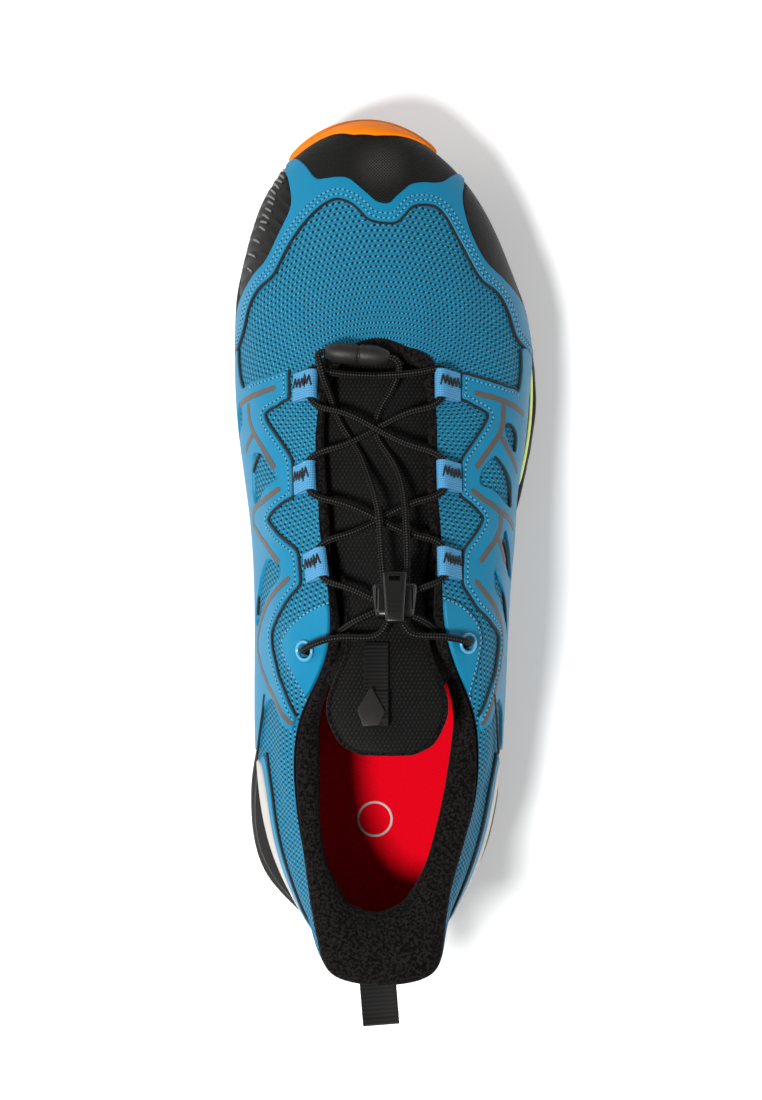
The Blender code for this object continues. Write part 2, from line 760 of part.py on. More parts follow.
CAGE = {
    "medial": [
        (249, 0.06), (248, 0.39), (240, 0.62), (233, 0.77), (231, 0.80), (238, 0.80), (249, 0.60),
        (250, 0.80), (257, 0.80), (267, 0.55), (266, 0.80), (272, 0.78), (278, 0.66), (283, 0.53),
        (285, 0.53), (289, 0.62), (290.5, 0.84), (291, 0.96), (293.5, 0.96), (294.5, 0.76),
        (293.5, 0.54), (295, 0.40), (300, 0.32), (300, 0.06),
    ],
    "lateral": [
        (111, 0.06), (111.5, 0.42), (118, 0.64), (127, 0.80), (129, 0.82), (124, 0.82), (113, 0.67),
        (112, 0.82), (105, 0.82), (96.4, 0.69), (95.4, 0.82), (90.6, 0.82), (84, 0.70), (77, 0.53),
        (75, 0.53), (71.4, 0.62), (69.5, 0.84), (69, 0.96), (66.5, 0.96), (65.5, 0.76), (66.5, 0.54),
        (65, 0.40), (60, 0.32), (60, 0.06),
    ],
}
EYESTAY = {
    "medial": [
        (271, 0.985), (275, 0.89), (279, 0.77), (282, 0.70), (284.5, 0.70), (286.3, 0.80), (287, 0.985),
    ],
    "lateral": [
        (89, 0.985), (85.5, 0.90), (82, 0.80), (79, 0.75), (76.5, 0.75), (74, 0.82), (73, 0.985),
    ],
}
HEEL_BAND_TOP = [(58, 0.30), (56, 0.35), (50, 0.38), (42, 0.38), (30, 0.36), (0, 0.36)]
HEEL_BAND_BASE = [(58, 0.16), (30, 0.14), (0, 0.14)]
HEEL_COUNTER_TOP = [(58, 0.42), (50, 0.46), (40, 0.49), (20, 0.51), (0, 0.51)]
HEEL_COUNTER_BASE = [(58, 0.35), (56, 0.38), (50, 0.405), (42, 0.405), (30, 0.385), (0, 0.385)]
EDGE_GAP = 0.02


def lowered(points, by):
    return [(turn, rise - by) for turn, rise in points]


def heel_outline(top, base):
    """A closed outline round the heel from the lateral halves of its upper and lower edge."""
    medial_top = [(-turn, rise) for turn, rise in top[-2::-1]]
    medial_base = [(-turn, rise) for turn, rise in base]
    return top + medial_top + medial_base + base[-2::-1]


def overlay_outlines():
    """Name, corners and material of every overlay."""
    yield "toe_cap", TOE_CAP_BASE + TOE_CAP_EDGE, black_film
    around_cap = [(202.2, 0.27), (202.4, 0.41)] + [(t, r + EDGE_GAP) for t, r in TOE_CAP_EDGE[1:-1]]
    around_cap += [(152.8, 0.41), (153.4, 0.27)]
    frame = FRAME_INNER + FRAME_OUTER["medial"] + around_cap + FRAME_OUTER["lateral"]
    yield "toe_frame", frame, blue_film
    rand = {side: lowered(points[1:-1], EDGE_GAP) for side, points in FRAME_OUTER.items()}
    yield "rand_medial", [(206.5, 0.06), (236, 0.06)] + rand["medial"], black_film
    yield "rand_lateral", [(125, 0.06), (150, 0.06), (150, 0.22)] + rand["lateral"], black_film
    for side in ("medial", "lateral"):
        yield f"cage_{side}", CAGE[side], blue_film
        yield f"eyestay_{side}", EYESTAY[side], blue_film
    yield "heel_band", heel_outline(HEEL_BAND_TOP, HEEL_BAND_BASE), white_film
    yield "heel_counter", heel_outline(HEEL_COUNTER_TOP, HEEL_COUNTER_BASE), blue_film


def build_overlays():
    top = OVERLAY_LIFT + OVERLAY
    for name, corners, material in overlay_outlines():
        bm = patch_sheet(corners, 360 / UPPER_COLUMNS, 1 / UPPER_ROWS)
        thicken(bm, lambda t, r: lifted(t, r, OVERLAY_LIFT), lambda t, r: lifted(t, r, top))
        add_part(name, bm, material)


# Foam patches set into the upper step of the midsole at the ball
PATCH_TURNS = {"lateral": (97.0, 112.0), "medial": (246.0, 253.0)}
PATCH_FROM, PATCH_TO = 0.81, 0.95
PATCH_THICK = 1.0


def build_midsole_patches():
    for side, (first, last) in PATCH_TURNS.items():
        def place(out):
            def at(a, b):
                turn = math.radians(first + (last - first) * a)
                return sole_side(turn, PATCH_FROM + (PATCH_TO - PATCH_FROM) * b, out)

            return at

        bm = thicken(flat_sheet(3, 2), place(GAP + 0.1), place(GAP + 0.1 + PATCH_THICK))
        add_part(f"midsole_patch_{side}", bm, lime_foam)


# Webbing loops, eyelets and lace
LOOP_BEND = 1.95
LOOP_CORD_OUT = 2.2
LOOP_CORD_UP = GAP + 0.1 + WEBBING / 2 + LOOP_BEND


def throat_frame(side, y, step=0.02):
    """Origin at the throat edge, direction away from the throat, normal, and direction to the toe."""
    turn = topline.turn_at(y, side)
    edge, normal, _ = skin_frame(turn, 1.0)
    forward = topline(turn + step) - topline(turn - step)
    forward *= math.copysign(1.0, forward[1]) / np.linalg.norm(forward)
    out = np.cross(forward, normal)
    out *= math.copysign(1.0, out[0] * edge[0])
    return edge, out, normal, forward


def loop_path():
    """Webbing that lies on the upper, turns round the lace and comes back over itself."""
    low = LOOP_CORD_UP - LOOP_BEND
    high = low + WEBBING + 0.35
    bend = [math.radians(a) for a in range(-90, -271, -45)]
    turn = [
        (LOOP_CORD_OUT + LOOP_BEND * math.cos(a), LOOP_CORD_UP + LOOP_BEND * math.sin(a)) for a in bend
    ]
    return [(LOOP_REACH, low), (5.0, low)] + turn + [(4.4, high + 1.0), (5.6, high), (LOOP_REACH, high)]


def build_lace_loops():
    for side in ("medial", "lateral"):
        for number, y in enumerate(LOOP_STATIONS, 1):
            name = f"lace_loop_{side}_{number}"
            folded_strip(name, loop_path(), WEBBING, LOOP_LENGTH, throat_frame(side, y), light_webbing)


def loop_mouth(side, number, end):
    """Where the lace comes out of a loop: end is 1 towards the toe and -1 towards the heel."""
    edge, out, normal, forward = throat_frame(side, LOOP_STATIONS[number - 1])
    return edge + out * LOOP_CORD_OUT + normal * LOOP_CORD_UP + forward * end * (LOOP_LENGTH / 2 + 1.4)


def crossing(name, first, second):
    """Two cords that cross, joined as one solid."""
    over = as_mesh(cord(name, first, black_cord))
    under = as_mesh(cord(name + "_under", second, black_cord))
    boolean(over, under, "UNION")


def bent(start, end, side_lift, middle_lift):
    """A route from one loop to another over the edge of the throat."""
    points = []
    for share, lift in ((0.0, 0.0), (0.2, side_lift), (0.5, middle_lift), (0.8, side_lift), (1.0, 0.0)):
        points.append(start + (end - start) * share + np.array((0, 0, lift)))
    return points


OVER, UNDER = (1.6, 1.8), (1.7, 0.6)
LACE_END = {"medial": (-9.4, 119.5, 97.0), "lateral": (13.6, 120.0, 96.2)}


def build_lace():
    first, last = loop_mouth("medial", 1, 1), loop_mouth("lateral", 1, 1)
    lead = np.array((2.6, -0.4, 0.8))
    middle = (first + last) / 2 + np.array((0, -2.4, 1.0))
    cord("lace_bar", [first, first + lead, middle, last + lead * (-1, 1, 1), last], black_cord)
    for number in (1, 2):
        start = {side: loop_mouth(side, number, -1) for side in LACE_END}
        end = {side: loop_mouth(side, number + 1, 1) for side in LACE_END}
        crossing(
            f"lace_cross_{number}",
            bent(start["medial"], end["lateral"], *OVER),
            bent(start["lateral"], end["medial"], *UNDER),
        )
    start = {side: loop_mouth(side, 3, -1) for side in LACE_END}
    crossing(
        "lace_cross_3",
        bent(start["medial"], np.array(LACE_END["lateral"]), *OVER),
        bent(start["lateral"], np.array(LACE_END["medial"]), *UNDER),
    )


# Eyelets on the eyestays, with a hole through eyestay and upper
EYELET = {"medial": (281.0, 0.88), "lateral": (80.5, 0.90)}
EYELET_HOLE = 2.1


def eyelet_frame(side):
    turn, rise = EYELET[side]
    return skin_frame(math.radians(turn), rise)


def build_eyelets():
    for side in EYELET:
        point, normal, _ = eyelet_frame(side)
        facing = Vector(normal).to_track_quat("Z", "Y").to_matrix().to_4x4()
        drill = bmesh.new()
        bmesh.ops.create_cone(
            drill, cap_ends=True, segments=12, radius1=EYELET_HOLE, radius2=EYELET_HOLE, depth=2 * WALL + 0.3
        )
        bmesh.ops.transform(drill, matrix=facing, verts=drill.verts[:])
        bmesh.ops.translate(drill, vec=Vector(point), verts=drill.verts[:])
        cutter = add_part(f"drill_{side}", drill, black_film)
        for name in ("upper", f"eyestay_{side}"):
            boolean(bpy.data.objects[name], cutter, "DIFFERENCE")
        lift = OVERLAY_LIFT + OVERLAY + GAP + EYELET_TUBE
        bpy.ops.mesh.primitive_torus_add(
            major_segments=14,
            minor_segments=6,
            major_radius=EYELET_RADIUS * MM,
            minor_radius=EYELET_TUBE * MM,
        )
        ring = bpy.context.object
        ring.name = f"eyelet_{side}"
        ring.data.materials.append(light_plastic)
        for owner in list(ring.users_collection):
            owner.objects.unlink(ring)
        shoe.objects.link(ring)
        ring.parent = base
        ring.rotation_euler = facing.to_euler()
        ring.location = Vector(point + normal * lift) * MM


# Toggle, tails and cord end
TOGGLE_CENTRE = (4.4, 124.4, 101.0)
TOGGLE_TILT = -14.0
TOGGLE_BODY = (15.4, 11.6, 5.6)
TOGGLE_BUTTON = (8.0, 17.0, 3.0)
TOGGLE_SLOT = (3.6, 1.6)
TOGGLE_SLOT_AT = 0.36


def rounded_block(name, size, bevel, centre, lift, material):
    """A block with rounded edges, tilted with the tongue."""
    bm = bmesh.new()
    bmesh.ops.create_cube(bm, size=1.0)
    bmesh.ops.scale(bm, vec=size, verts=bm.verts[:])
    bmesh.ops.bevel(bm, geom=bm.edges[:], offset=bevel, segments=2, profile=0.5, affect="EDGES")
    bmesh.ops.translate(bm, vec=(0, 0, lift), verts=bm.verts[:])
    part = add_part(name, bm, material)
    part.location = Vector(centre) * MM
    part.rotation_euler = (math.radians(TOGGLE_TILT), 0, 0)
    return part


def build_toggle():
    rounded_block("toggle_body", TOGGLE_BODY, 1.2, TOGGLE_CENTRE, 0.0, black_plastic)
    lift = (TOGGLE_BODY[2] + TOGGLE_BUTTON[2]) / 2 + GAP
    button = rounded_block("toggle_button", TOGGLE_BUTTON, 0.9, TOGGLE_CENTRE, lift, black_plastic)
    bm = bmesh.new()
    bmesh.ops.create_cube(bm, size=1.0)
    bmesh.ops.scale(bm, vec=(*TOGGLE_SLOT, 2 * TOGGLE_BUTTON[2]), verts=bm.verts[:])
    bmesh.ops.translate(bm, vec=(0, TOGGLE_SLOT_AT * TOGGLE_BUTTON[1], lift), verts=bm.verts[:])
    slot = add_part("toggle_slot", bm, black_plastic)
    slot.location = button.location
    slot.rotation_euler = button.rotation_euler
    boolean(button, slot, "DIFFERENCE")


TAILS = {
    "medial": [
        (0.8, 131.6, 99.0), (0.4, 137.0, 97.4), (-0.2, 145.0, 95.0), (-1.0, 154.2, 92.4),
        (-4.3, 165.8, 84.6), (-7.7, 174.1, 78.8), (-12.0, 180.8, 76.2), (-15.4, 187.5, 74.6),
        (-17.4, 193.6, 76.6), (-18.6, 199.0, 80.4), (-20.8, 204.0, 80.2), (-20.0, 206.2, 79.0),
        (-18.2, 206.4, 78.6),
    ],
    "lateral": [
        (8.4, 131.6, 99.0), (8.6, 137.7, 97.0), (8.3, 147.6, 94.2), (7.3, 160.8, 87.0), (4.7, 169.0, 81.8),
        (1.3, 174.4, 78.8), (-1.0, 178.2, 77.6), (-1.7, 183.0, 76.4), (-0.3, 188.0, 75.2), (4.2, 194.0, 73.8),
        (7.4, 199.6, 73.4), (8.6, 204.2, 75.8), (7.2, 206.2, 78.2), (5.0, 206.4, 78.6),
    ],
}
EYELET_RUNS = {
    "medial": [(-18.6, 110.6, 97.6), (-9.0, 113.4, 99.6), (0.8, 117.0, 100.8)],
    "lateral": [(20.4, 112.0, 98.4), (14.0, 114.4, 100.2), (8.4, 117.0, 100.8)],
}
CORD_END_FROM, CORD_END_TO = (-17.0, 206.4, 78.6), (3.8, 206.4, 78.6)
CORD_END_RADII = [
    (0.0, 0.5), (0.06, 0.72), (0.2, 1.0), (0.49, 1.0), (0.5, 0.84), (0.53, 0.84), (0.54, 1.0), (0.8, 1.0),
    (0.94, 0.72), (1.0, 0.5),
]
CORD_END_RADIUS = 3.2


def build_cords():
    for side, points in TAILS.items():
        cord(f"lace_tail_{side}", points, black_cord)
    for side, points in EYELET_RUNS.items():
        point, normal, _ = eyelet_frame(side)
        start = point + normal * (OVERLAY_LIFT + OVERLAY + 2 * EYELET_TUBE + CORD_RADIUS + 0.6)
        cord(f"lace_run_{side}", [start] + points, black_cord, spacing=4.0)
    first, last = np.array(CORD_END_FROM), np.array(CORD_END_TO)
    route = [first + (last - first) * share for share, _ in CORD_END_RADII]
    sizes = [size for _, size in CORD_END_RADII]
    cord("cord_end", route, black_plastic, radii=sizes, radius=CORD_END_RADIUS, sides=3)


# Tab on the tongue and pull loop at the heel
TAB_X, TAB_WIDTH, TAB_THICK, TAB_RETURN = -1.6, 8.0, 0.9, 1.5
TAB_FROM, TAB_FOLD, TAB_TO = 110.5, 84.0, 95.0


def build_tongue_tab():
    def over_tongue(y, lift):
        centre, half = tongue_rows(-y)[:2]
        return y, tongue_place((TAB_X - centre) / half, y, 0)[2] + lift

    lift = GAP + 0.5 + TAB_THICK / 2
    path = [over_tongue(y, lift) for y in np.linspace(TAB_FROM, TAB_FOLD, 8)]
    fold = path[-1]
    path += [(fold[0] - 1.0, fold[1] + 1.0), (fold[0], fold[1] + 1.7)]
    path += [over_tongue(y, lift + TAB_RETURN) for y in np.linspace(TAB_FOLD + 4, TAB_TO, 3)]
    frame = (np.array((TAB_X, 0, 0)), np.array((0, 1, 0)), np.array((0, 0, 1)), np.array((1, 0, 0)))
    folded_strip("tongue_tab", path, TAB_THICK, TAB_WIDTH, frame, black_webbing)


HEEL_LOOP_THICK = 1.2
HEEL_LOOP_X = 0.2
HEEL_LOOP_PATH = [
    (-6.5, 83.6), (-11.5, 83.2), (-14.6, 84.4), (-15.8, 86.6), (-14.6, 88.8), (-11.5, 89.8), (-6.5, 90.0),
]


def build_heel_loop():
    def seat(rise):
        return tuple(lifted(0.0, rise, GAP + 0.1 + HEEL_LOOP_THICK / 2)[1:])

    path = [seat(0.60), seat(0.68), seat(0.75)] + HEEL_LOOP_PATH + [seat(0.92)]
    frame = (np.array((HEEL_LOOP_X, 0, 0)), np.array((0, 1, 0)), np.array((0, 0, 1)), np.array((1, 0, 0)))
    folded_strip("heel_loop", path, HEEL_LOOP_THICK, HEEL_LOOP_WIDTH, frame, black_webbing)


def build():
    build_outsole()
    build_midsole()
    build_midsole_patches()
    build_insole()
    build_toe_bumper()
    build_upper()
    build_cuff()
    build_tongue()
    build_overlays()
    build_lace_loops()
    build_eyelets()
    build_lace()
    build_toggle()
    build_cords()
    build_tongue_tab()
    build_heel_loop()


def centre_shoe():
    """Moves the frame so that the origin lies under the middle of the shoe, on the floor."""
    bpy.context.view_layer.update()
    graph = bpy.context.evaluated_depsgraph_get()
    points = []
    for part in shoe.objects:
        if part.type != "EMPTY":
            evaluated = part.evaluated_get(graph)
            points += [evaluated.matrix_world @ v.co for v in evaluated.to_mesh().vertices]
            evaluated.to_mesh_clear()
    low, high = np.min(points, axis=0), np.max(points, axis=0)
    base.location = (-(low[0] + high[0]) / 2, -(low[1] + high[1]) / 2, -low[2])


clear_scene()
shoe = make_collection("hiking_shoe")
cutters = make_collection("cutters")
base = bpy.data.objects.new("shoe_frame", None)
shoe.objects.link(base)
blue_mesh = make_material("blue_mesh", BLUE, 0.8)
blue_film = make_material("blue_film", BLUE, 0.4)
light_webbing = make_material("light_webbing", LIGHT_BLUE, 0.8)
black_film = make_material("black_film", BLACK, 0.5)
black_foam = make_material("black_foam", BLACK, 0.7)
black_rubber = make_material("black_rubber", BLACK, 0.6)
black_lining = make_material("black_lining", BLACK, 0.9)
black_mesh = make_material("black_mesh", BLACK, 0.9)
black_plastic = make_material("black_plastic", GREY, 0.45)
black_cord = make_material("black_cord", BLACK, 0.75)
orange_rubber = make_material("orange_rubber", ORANGE, 0.5)
red_cloth = make_material("red_cloth", RED, 0.85)
white_film = make_material("white_film", WHITE, 0.5)
lime_foam = make_material("lime_foam", LIME, 0.6)
black_webbing = make_material("black_webbing", BLACK, 0.8)
light_plastic = make_material("light_plastic", LIGHT_BLUE, 0.3)
build()
centre_shoe()
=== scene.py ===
# %% [markdown]
# # Dressing a right hiking shoe over its CAD frame
# The frame holds the shoe's solids at their true size. This lesson gives every one of them the surface
# that the real shoe shows: open mesh cloth, bonded films, padded collar, braided lace, rubber and foam.
# The frame is loaded first.

# %% Load the frame
import math

import bmesh
import bpy
import numpy as np
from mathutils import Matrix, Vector
from mathutils.geometry import delaunay_2d_cdt


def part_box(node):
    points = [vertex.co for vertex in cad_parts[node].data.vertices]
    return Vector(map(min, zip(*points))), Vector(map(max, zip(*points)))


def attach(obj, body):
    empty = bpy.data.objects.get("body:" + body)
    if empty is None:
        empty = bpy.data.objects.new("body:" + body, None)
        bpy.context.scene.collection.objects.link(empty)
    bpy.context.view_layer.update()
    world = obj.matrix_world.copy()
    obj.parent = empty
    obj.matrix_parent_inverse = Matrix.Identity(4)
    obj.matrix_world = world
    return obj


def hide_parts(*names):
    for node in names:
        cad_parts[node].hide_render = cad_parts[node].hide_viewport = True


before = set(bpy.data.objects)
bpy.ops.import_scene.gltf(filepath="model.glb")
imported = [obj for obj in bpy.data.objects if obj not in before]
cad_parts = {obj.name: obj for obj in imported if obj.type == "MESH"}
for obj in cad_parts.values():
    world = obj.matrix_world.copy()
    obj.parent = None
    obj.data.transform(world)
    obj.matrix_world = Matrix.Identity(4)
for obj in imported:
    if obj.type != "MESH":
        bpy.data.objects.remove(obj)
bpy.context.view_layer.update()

MM = 0.001
TURN = 2 * math.pi

# %% [markdown]
# The tables below are in millimetres, as a shoemaker measures a last: y runs from heel to toe, x to the
# outer side and z up. The frame's origin lies under the middle of the shoe. The toggle is a plain block
# whose middle is known in both systems, so it gives the step from the tables to the frame.

# %% From table millimetres to the frame
TOGGLE_CENTRE = np.array((4.4, 124.4, 101.0))
TOGGLE_TILT = -14.0
toggle_low, toggle_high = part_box("toggle_body")
SHIFT = np.array((toggle_low + toggle_high) / 2) - TOGGLE_CENTRE * MM


def place(points):
    """Table points in millimetres as frame points in metres."""
    return np.asarray(points, float) * MM + SHIFT


print("table origin lies at", SHIFT.round(5), "m")

# %% [markdown]
# The photograph looks straight down on the shoe. A long lens keeps the sides from bulging, as in a
# product picture, and the camera hangs over the middle of the picture. A camera that isn't turned already
# looks down with +Y at the top of the frame.

# %% Camera
CAMERA_OVER = (0.0, 141.0, 1200.0)
CAMERA_LENS = 110.0

bpy.ops.object.select_all(action="DESELECT")
bpy.ops.object.camera_add(location=place(CAMERA_OVER))
camera = bpy.context.object
camera.name = "camera_above"
camera.data.lens = CAMERA_LENS
bpy.context.scene.camera = camera
print("camera at", camera.location[:])

# %% [markdown]
# Studio light: a pale floor, a dim room and one strong light high on the heel's inner side. As in the
# photograph, it leaves that side of the insole in shadow. Weaker, broad lights stand left and right of
# the shoe. The Standard view keeps colours as a product picture shows them, with a floor that is nearly
# white.

# %% Floor and lights
FLOOR_SIZE, FLOOR_DROP = 30.0, 0.0004
FLOOR_GLOW, ROOM_LIGHT = 0.3, 0.22
LIGHTS = {
    "key_above": ((-0.46, -0.36, 1.45), 0.3, 25.0),
    "side_left": ((-1.2, 0.5, 0.7), 0.8, 5.0),
    "side_right": ((1.2, 0.3, 0.8), 1.0, 2.6),
}

bpy.ops.mesh.primitive_plane_add(size=FLOOR_SIZE, location=(0, 0, -FLOOR_DROP))
floor = bpy.context.object
floor.name = "floor"
for name, (where, size, power) in LIGHTS.items():
    bpy.ops.object.light_add(type="AREA", location=where)
    light = bpy.context.object
    light.name = name
    light.data.shape = "DISK"
    light.data.size = size
    light.data.energy = power
    light.rotation_euler = Vector(where).to_track_quat("Z", "Y").to_euler()
world = bpy.data.worlds.new("dim_room")
bpy.context.scene.world = world
world.use_nodes = True
world.node_tree.nodes["Background"].inputs["Color"].default_value = (1.0, 1.0, 1.0, 1.0)
world.node_tree.nodes["Background"].inputs["Strength"].default_value = ROOM_LIGHT
bpy.context.scene.view_settings.view_transform = "Standard"
print("floor and", len(LIGHTS), "lights")

# %% [markdown]
# ## The last
# A shoe is built over a last. Its surface is given here by five lines that run round the shoe, each a
# short table with the shoe's inner and outer side at some stations. A place on the upper has a turn, an
# angle from the heel over the outer side to the toe and back, and a rise, from 0 at the sole to 1 at the
# collar and throat. A natural spline joins the stations, and another one joins the five lines.

# %% Lines round the shoe: y, inner side, outer side, z
SOLE_OUTLINE = [
    (0, -2, -2, 0), (4, -15, 11.5, 0), (12, -25.8, 21.4, 0), (24, -37.4, 30.4, 0), (36, -43.6, 36.6, 0),
    (52, -45.6, 40.3, 0), (76, -43, 41.3, 0), (106, -38.5, 40.5, 0), (140, -39.4, 43.6, 0),
    (170, -46.8, 51.4, 0), (198, -51, 54.4, 0), (222, -51.2, 51.4, 0), (243, -48, 44.2, 0),
    (262, -41.4, 34.2, 0), (276, -31.6, 22.4, 0), (284, -19.5, 9.5, 0), (287, -5, -5, 0),
]
BULGE = [
    (1, -1.5, -1.5, 53), (5, -16, 13, 52), (18, -27, 24.8, 50), (40, -37.4, 35, 48),
    (75, -42.3, 40.8, 46),
    (115, -42.4, 42.4, 46), (150, -44, 46, 43), (185, -48.6, 51.6, 38), (215, -49.4, 50.8, 35),
    (240, -46.6, 43.6, 36), (261, -39.8, 33.4, 39), (275, -30, 21.2, 42.5), (283, -18, 8.5, 45),
    (286, -5, -5, 46),
]
SHOULDER = [
    (8, -0.5, -0.5, 75), (11, -17.5, 15.5, 74), (24, -27.5, 25.5, 70), (45, -34, 33, 66),
    (75, -37, 38, 63.5),
    (110, -37.5, 40.4, 68), (145, -38.5, 41.4, 67), (180, -42, 44.4, 60), (210, -43.6, 44.2, 54),
    (233, -41.4, 38.6, 51), (253, -34.4, 29, 51.5), (266, -24.4, 16.8, 53.5), (273, -14, 5.5, 55),
    (275.5, -4, -4, 55.5),
]
VAMP = [
    (2.8, 0, 0, 86), (6, -17.5, 17, 85.5), (22, -25, 23.8, 81), (42, -30, 30, 75.5),
    (75, -33.8, 36.2, 72.5),
    (105, -29.5, 34.2, 83), (140, -29.6, 31.6, 80.5), (175, -32, 32.4, 71.5), (203, -32.4, 31.6, 66),
    (222, -28, 25, 64), (235, -19.5, 15.5, 63.5), (241.5, -10.5, 7, 63.5), (243.5, -2, -2, 63.5),
]
TOPLINE = [
    (-1.6, 0.3, 0.3, 93), (1.2, -15.4, 15.8, 92.5), (8, -20.2, 20.4, 91), (25, -23.8, 22.8, 86),
    (42, -26.6, 27.6, 81.5), (58, -28.6, 31.6, 78.5), (74, -29, 32.6, 78), (88, -26, 30.6, 82),
    (100, -20.4, 25.8, 89), (114, -17, 21.4, 93.5), (135, -18.6, 20.2, 90), (160, -21, 18.9, 84),
    (184, -21.4, 18.6, 78), (198, -18.4, 16.6, 75), (206.5, -11, 9.4, 73.6), (209.5, -1, -1, 73.2),
]
RING_RISES = (0.0, 0.22, 0.48, 0.76, 1.0)
FORWARD = {"bulge": 0.0, "shoulder": 0.05, "vamp": 0.2, "topline": 0.4}

# %% Sole heights: y, underside, upper edge
SOLE_LINES = [
    (-2, 5, 35.5), (12, 1.6, 34.5), (28, 0, 33.5), (60, 0, 31.5), (105, 0, 28), (150, 0, 25),
    (190, 0, 23.5),
    (214, 0.4, 23.8), (238, 3.2, 26), (262, 8.6, 30.5), (280, 14.6, 35.5), (292, 19, 39),
]
FLAT_FROM, FLAT_TO = 26.0, 208.0
ARCH_CENTRE, ARCH_HALF, ARCH_LIFT = 118.0, 40.0, 5.0
GAP = 0.3
WALL = 2.2
FEATHER_INSET = 4.0

# %% Splines and rings
WRAP = 6


def spline(knots, values):
    """A natural cubic spline through rows of values, read at many places at once."""
    knots = np.asarray(knots, float)
    values = np.asarray(values, float)
    count, step = len(knots), np.diff(knots)
    slope = np.diff(values, axis=0) / step[:, None]
    system, right = np.eye(count), np.zeros_like(values)
    for i in range(1, count - 1):
        system[i, i - 1 : i + 2] = step[i - 1], 2 * (step[i - 1] + step[i]), step[i]
        right[i] = 6 * (slope[i] - slope[i - 1])
    bend = np.linalg.solve(system, right)

    def at(places):
        places = np.asarray(places, float)
        i = np.clip(np.searchsorted(knots, places) - 1, 0, count - 2)
        a = ((knots[i + 1] - places) / step[i])[..., None]
        b = 1 - a
        curve = ((a**3 - a) * bend[i] + (b**3 - b) * bend[i + 1]) * (step[i] ** 2)[..., None] / 6
        return a * values[i] + b * values[i + 1] + curve

    return at


def table_spline(rows):
    """A spline through the rows of a table, read by their first number."""
    return spline([row[0] for row in rows], [row[1:] for row in rows])


def run_length(line):
    """How far along a line of points each point lies."""
    return np.concatenate(([0], np.cumsum(np.linalg.norm(np.diff(line, axis=0), axis=1))))


def turn_on(rows, y, forward=0.0):
    """The turn on the outer side at which a ring passes station y."""
    first, last = rows[0][0], rows[-1][0]
    share = np.clip((np.asarray(y, float) - first) / (last - first), 0, 1)
    if forward:
        share = (1 + forward - np.sqrt((1 + forward) ** 2 - 4 * forward * share)) / (2 * forward)
    return np.arccos(np.clip(1 - 2 * share, -1, 1))


def ring(rows, forward=0.0):
    """A closed line round the shoe, as a function of the turn."""
    table = np.array(rows, float)
    first, last = table[0, 0], table[-1, 0]
    turns = turn_on(rows, table[:, 0], forward)
    back = table[-2:0:-1]
    knots = np.concatenate((turns, TURN - turns[-2:0:-1]))
    values = np.concatenate((table[:, [2, 3]], back[:, [1, 3]]))
    knots = np.concatenate((knots[-WRAP:] - TURN, knots, knots[:WRAP] + TURN))
    line = spline(knots, np.concatenate((values[-WRAP:], values, values[:WRAP])))

    def at(turn):
        turn = np.mod(turn, TURN)
        sides = line(turn)
        c = (1 - np.cos(turn)) / 2
        y = first + (last - first) * (c + forward * c * (1 - c))
        return np.stack((sides[..., 0], y, sides[..., 1]), -1)

    return at


outline = ring(SOLE_OUTLINE)
bulge = ring(BULGE, FORWARD["bulge"])
shoulder = ring(SHOULDER, FORWARD["shoulder"])
vamp = ring(VAMP, FORWARD["vamp"])
topline = ring(TOPLINE, FORWARD["topline"])
sole_line = table_spline(SOLE_LINES)
ring_weights = spline(RING_RISES, np.eye(len(RING_RISES)))

# %% Surface of the last


def sole_top(y):
    return sole_line(y)[..., 1]


def ground(y):
    """Height of the tread: flat under heel and forefoot, raised at both ends."""
    y = np.asarray(y, float)
    return np.where((y >= FLAT_FROM) & (y <= FLAT_TO), 0.0, np.maximum(0.0, sole_line(y)[..., 0]))


def arch(y):
    return ARCH_LIFT * np.maximum(0.0, 1 - ((np.asarray(y, float) - ARCH_CENTRE) / ARCH_HALF) ** 2) ** 2


def inset(line, turn, distance):
    """Points of a ring moved towards the middle of the shoe."""
    turn = np.asarray(turn, float)
    inwards = np.stack((-np.sin(turn), np.cos(turn), np.zeros_like(turn)), -1)
    return line(turn) + np.asarray(distance, float)[..., None] * inwards


def feather(turn):
    """The lower edge of the upper, just above the sole."""
    point = inset(bulge, turn, FEATHER_INSET)
    point[..., 2] = sole_top(point[..., 1]) + GAP
    return point


def skin(turn, rise):
    """Outer surface of the upper."""
    turn, rise = np.broadcast_arrays(np.asarray(turn, float), np.asarray(rise, float))
    rings = np.stack([feather(turn), bulge(turn), shoulder(turn), vamp(turn), topline(turn)], -2)
    return np.einsum("...r,...rc->...c", ring_weights(rise), rings)


def unit(vectors):
    return vectors / np.linalg.norm(vectors, axis=-1, keepdims=True)


def skin_axes(turn, rise, step=0.004):
    """How the surface runs per radian of turn and per unit of rise, and its outward normal."""
    turn, rise = np.broadcast_arrays(np.asarray(turn, float), np.asarray(rise, float))
    low, high = np.clip(rise - step, 0, 1), np.clip(rise + step, 0, 1)
    along = (skin(turn + step, rise) - skin(turn - step, rise)) / (2 * step)
    up = (skin(turn, high) - skin(turn, low)) / (high - low)[..., None]
    return along, up, unit(np.cross(along, up))


print("vamp centre in front of the throat at", skin(math.pi, 1.0).round(1), "mm")
